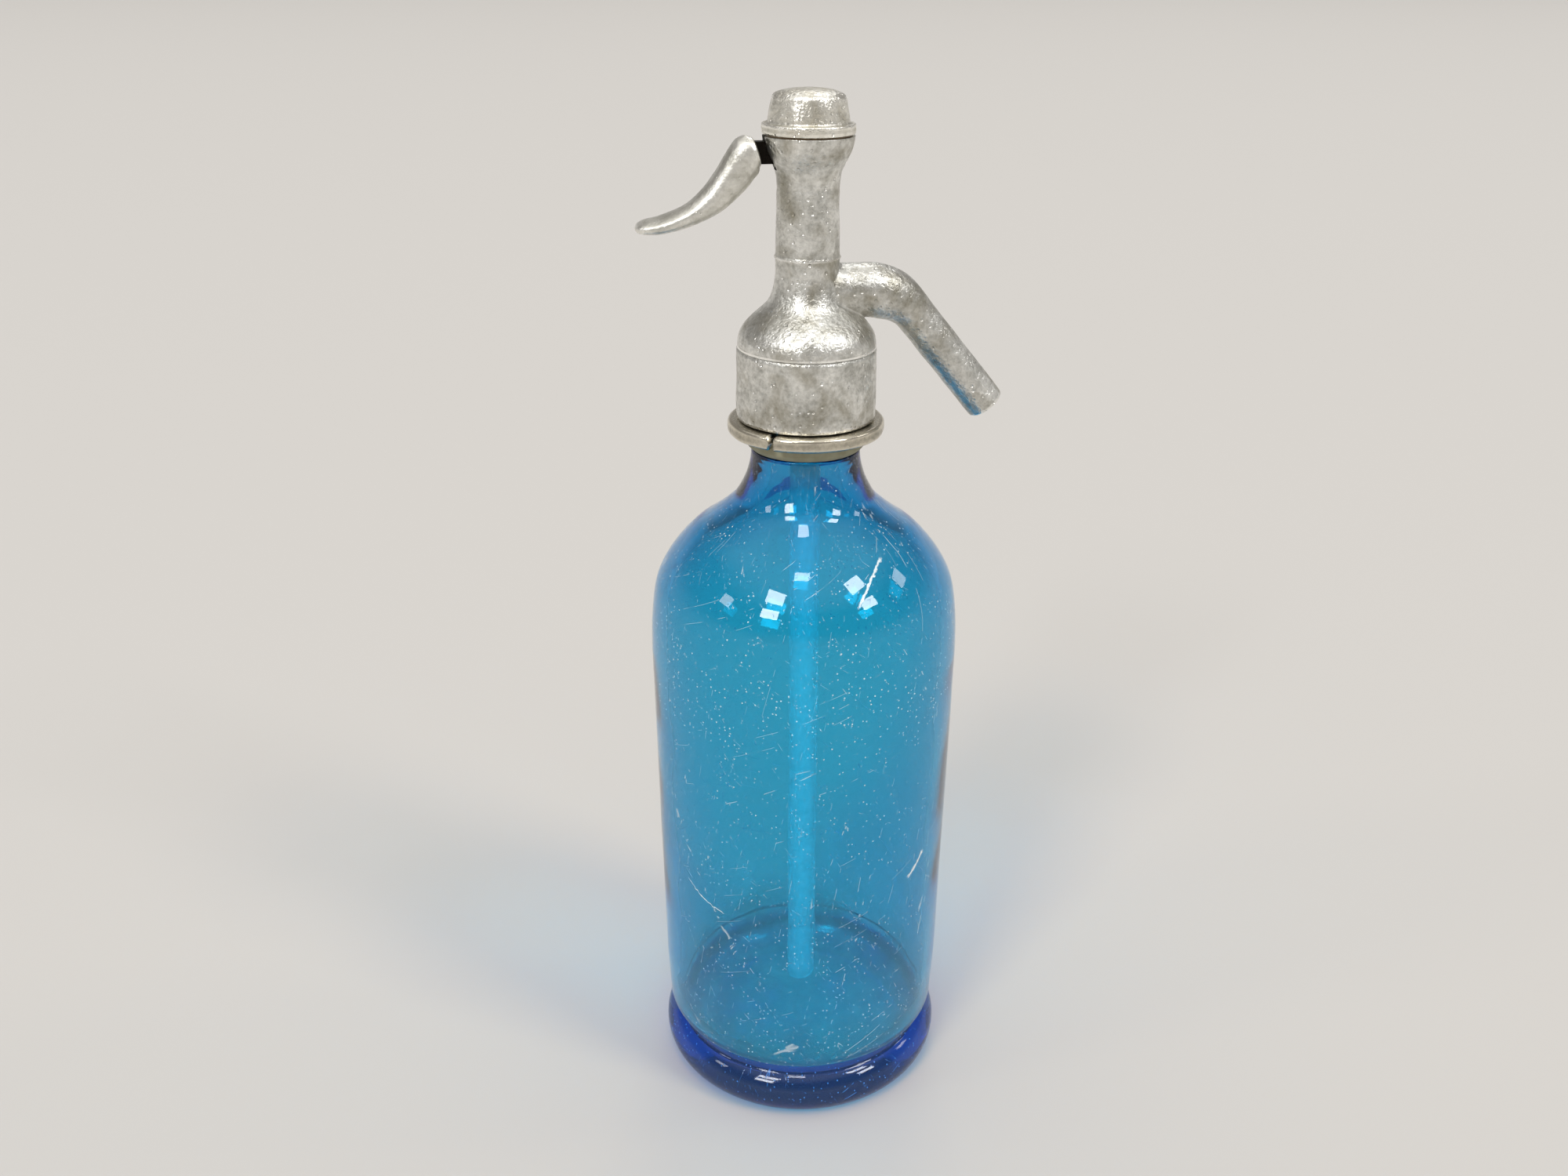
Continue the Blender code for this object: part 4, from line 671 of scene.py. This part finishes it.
rings = centre + radius[..., None] * (np.cos(angle)[:, None] * side
                                      + np.sin(angle)[:, None] * np.cross(ahead, side))
rings += SPOUT_WANDER * waves(rings, 0.010, 21)[..., None] * np.array([0.3, 0.3, 1.0])
# the lip is rubbed bright
lip_row = len(fillet_along) + len(barrel_along)
rubbed = np.zeros((len(rings), 1))
rubbed[lip_row - 2:lip_row + 6] = 0.7
spout = surface("pewter_spout", rings[:, ::-1], cast_pewter, ring=True, mark=rubbed)
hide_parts("spout")

# Valve: a brass seat, and a rod whose disc carries a rubber pad. A leather cup under a slotted brass gland
# seals the rod, and the lever's finger works in the slot through its head.
oiled_leather, tree = new_tree("oiled_leather")
# vegetable-tanned cowhide steeped in oil: dark brown, half matt, with the hide's pores 0.6 mm apart
place = add(tree, "TexCoord").outputs["Object"]
hide = add(tree, "TexVoronoi", {"Vector": place, "Scale": 1600})
tone = add(tree, "MixRGB", {"Fac": hide.outputs["Distance"], 1: linear("5a4936"), 2: linear("8a765b")})
dent = add(tree, "Bump", {"Height": hide.outputs["Distance"], "Strength": 0.4, "Distance": 0.0001})
shader = add(tree, "BsdfPrincipled", {"Base Color": tone.outputs[0], "Roughness": 0.55,
                                      "Normal": dent.outputs[0]})
add(tree, "OutputMaterial", {"Surface": shader.outputs[0]})
# drawn and turned steel: plain grey, smooth and half bright
drawn_steel = metal("drawn_spring_steel", "6f6f6e", "bfbfbd", 0.28, 0.0005, 0.00001, edges=False)
dress(("valve_seat", "valve_disc", "valve_rod", "packing_gland"), turned_brass)
dress(("valve_pad",), brick_rubber)
dress(("packing_leather", "cap_gasket"), oiled_leather)
dress(("pad_screw", "spring_washer"), drawn_steel)

# Return spring: five turns of drawn wire between the washer on the rod and the roof of the cap's pocket. It
# rides up with the rod but keeps its length: it is not squeezed against the cap.
COIL_RADIUS, WIRE_RADIUS, TURNS = 0.0049, 0.00045, 5
SPRING_LOW, SPRING_HIGH, LIFT = 0.29936, 0.30819, 0.002492
SPRING_LENGTH = SPRING_HIGH - SPRING_LOW
turn = np.linspace(0, 2 * math.pi * TURNS, 40 * TURNS + 1)[:, None]
climb = SPRING_LOW + WIRE_RADIUS + (SPRING_LENGTH - 2 * WIRE_RADIUS) * turn / (2 * math.pi * TURNS)
round_wire = np.linspace(0, 2 * math.pi, 12, endpoint=False)[None, :]
out = COIL_RADIUS + WIRE_RADIUS * np.cos(round_wire)
coil = np.stack([out * np.cos(turn), out * np.sin(turn), climb + WIRE_RADIUS * np.sin(round_wire)], axis=-1)
spring = surface("return_coil", coil, drawn_steel, "valve", caps=True)
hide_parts("return_spring")
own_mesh(spring)

# Cap: a pewter plug with a round flange and a tapering crown of eight flats, worn almost round by wrenches
# and hands. It closes the bulb over a leather washer and holds the spring down.
CROWN_SHARES = np.array(((0, 1), (0.650, 0.890), (0.745, 0.862), (0.820, 0.810), (0.880, 0.720),
                         (0.945, 0.540), (0.985, 0.300), (1, 0)))
CROWN_RADIUS, CROWN_LOW, CROWN_HIGH, CROWN_TURN = 0.0117, 0.3027, 0.3115, math.radians(-9)
FLAT_REACH, FLAT_TAPER, FLAT_BLEND, CAP_WANDER, EVEN_REACH = 0.0111, 0.0012, 0.0004, 0.00012, 0.0029
crown = curved(CROWN_SHARES, 0, CROWN_RADIUS, CROWN_LOW, CROWN_HIGH)[::-1]
flange = rounded(mm((11.7, 302.7), (12.6, 302.7), (12.6, 300.02), (8.8, 300.02), (8.8, 297.5),
                    (6.6, 297.5), (6.6, 308.5), (0, 308.5)), 0.0006)
cap_line = spread(np.vstack([crown[:-1], flange]), 0.0005)
plug = turned(cap_line, 192)
# where a flat lies inside the turned round, the radius follows the flat, and passes over softly between them
lean = np.linspace(0, 2 * math.pi, 192, endpoint=False) - math.pi / 2 - CROWN_TURN
eighth = math.pi / 4
flat = np.cos((lean + eighth / 2) % eighth - eighth / 2)
climb = np.clip((cap_line[:, 1:] - CROWN_LOW) / (CROWN_HIGH - CROWN_LOW), 0, 1)
limit = (FLAT_REACH - FLAT_TAPER * climb) / flat
rounder = cap_line[:, :1]
inward = (rounder - limit) / FLAT_BLEND
crowned = np.where(climb > 0, rounder - FLAT_BLEND * np.log1p(np.exp(np.clip(inward, -30, 30))), rounder)
crowned += np.where((climb > 0) & (rounder > EVEN_REACH), CAP_WANDER, 0) * waves(plug, 0.006, 31)
plug[..., :2] *= (crowned / np.maximum(rounder, 1e-6))[..., None]
# pewter that wrenches and hands have rubbed: paler and glossier than the casting, its grain drawn as coarse
cap_pewter = metal("handled_pewter", "c0bdb2", "fefbf2", 0.29, 0.0014, 0.00036, pits=0.10, stain="a59c82")
cap = surface("pewter_cap", plug, cap_pewter, mark=edge_wear(cap_line))
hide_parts("head_cap")

# Lever: a pewter handle, thick at its root and flattening to a thumb rest, cast round a forged iron tongue.
# The tongue turns on an iron pin in the bulb's wall. Thumbs have kept the handle smooth.
LEVER_ROOT, LEVER_LENGTH, LEVER_TOP, LEVER_DROP, HALF_WIDTH = 0.0133, 0.0336, 0.2998, 0.025, 0.0060
OVAL_POWER, END_BULGE, LEVER_WANDER = 0.85, 0.0007, 0.00012
TONGUE_SOCKET = (-16.7, -2.1, 292.2), (-7.6, 2.1, 298.5)
# from root to tip: the upper edge's way along and down, the lower edge's, and the width, as shares of the
# lever's length, drop and half width
EDGE_SHARES = np.array(((0.077, 0.016, 0, 0.328, 0.78), (0.122, 0.004, 0.012, 0.392, 0.84),
                        (0.185, 0.040, 0.048, 0.448, 0.86), (0.235, 0.120, 0.098, 0.532, 0.84),
                        (0.286, 0.224, 0.155, 0.608, 0.82), (0.360, 0.376, 0.247, 0.716, 0.82),
                        (0.467, 0.560, 0.345, 0.800, 0.85), (0.607, 0.712, 0.536, 0.908, 0.92),
                        (0.783, 0.812, 0.756, 0.984, 1), (0.914, 0.856, 0.908, 0.996, 0.90),
                        (0.973, 0.888, 0.979, 0.984, 0.66), (1, 0.928, 1, 0.960, 0.30)))
edges = through(EDGE_SHARES, 9)
high, low = (np.stack([-LEVER_ROOT - LEVER_LENGTH * edges[:, k], 0 * edges[:, k],
                       LEVER_TOP - LEVER_DROP * edges[:, k + 1]], -1)[:, None] for k in (0, 2))
# each cross-section is a blunt oval between the two edges
angle = np.linspace(0, 2 * math.pi, 64, endpoint=False)
up, across = (np.sign(v) * np.abs(v) ** OVAL_POWER for v in (np.sin(angle), np.cos(angle)))
width = HALF_WIDTH * edges[:, 4]
handle = (high + low) / 2 + (high - low) / 2 * up[None, :, None]
handle = handle + width[:, None, None] * across[None, :, None] * np.array([0.0, 1.0, 0.0])
# both ends close in shrinking ovals, of which the root's bulge out towards the bulb
shrink = np.array([0.0, 0.55, 0.80, 0.93, 0.985])[:, None, None]
first, last = handle[:1], handle[-1:]
root_middle, tip_middle = first.mean(axis=1, keepdims=True), last.mean(axis=1, keepdims=True)
outward = np.array([1.0, 0.0, 0.25]) * END_BULGE
root = root_middle + (first - root_middle) * shrink ** 0.5 + outward * np.sqrt(1 - shrink ** 2)
tip = tip_middle + (last - tip_middle) * shrink[::-1] ** 0.5
handle = np.vstack([root, handle, tip])
handle += LEVER_WANDER * waves(handle, 0.012, 41)[..., None] * np.array([0.0, 0.5, 1.0])
# rubbed bright at the root's edge and on the thumb rest
rubbed = np.zeros((len(handle), 64))
rubbed[3:12] = 0.5
rubbed[-20:] = 0.35
# pewter that thumbs have worn smooth: pale, with a shallow grain and few pits
thumb_pewter = metal("thumb_worn_pewter", "bfbdb4", "fdfbf4", 0.36, 0.0012, 0.00016, pits=0.07,
                     stain="9d9a8c")
lever = surface("pewter_lever", handle[:, ::-1], thumb_pewter, "lever", mark=rubbed)
cut(lever, *TONGUE_SOCKET)
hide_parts("lever_handle")
# hammered iron gone black with oil and rust: nearly no gloss
forged_iron = metal("black_forged_iron", "12100e", "2a2622", 0.55, 0.0006, 0.00005, edges=False)
dress(("lever_tongue", "lever_pin"), forged_iron)
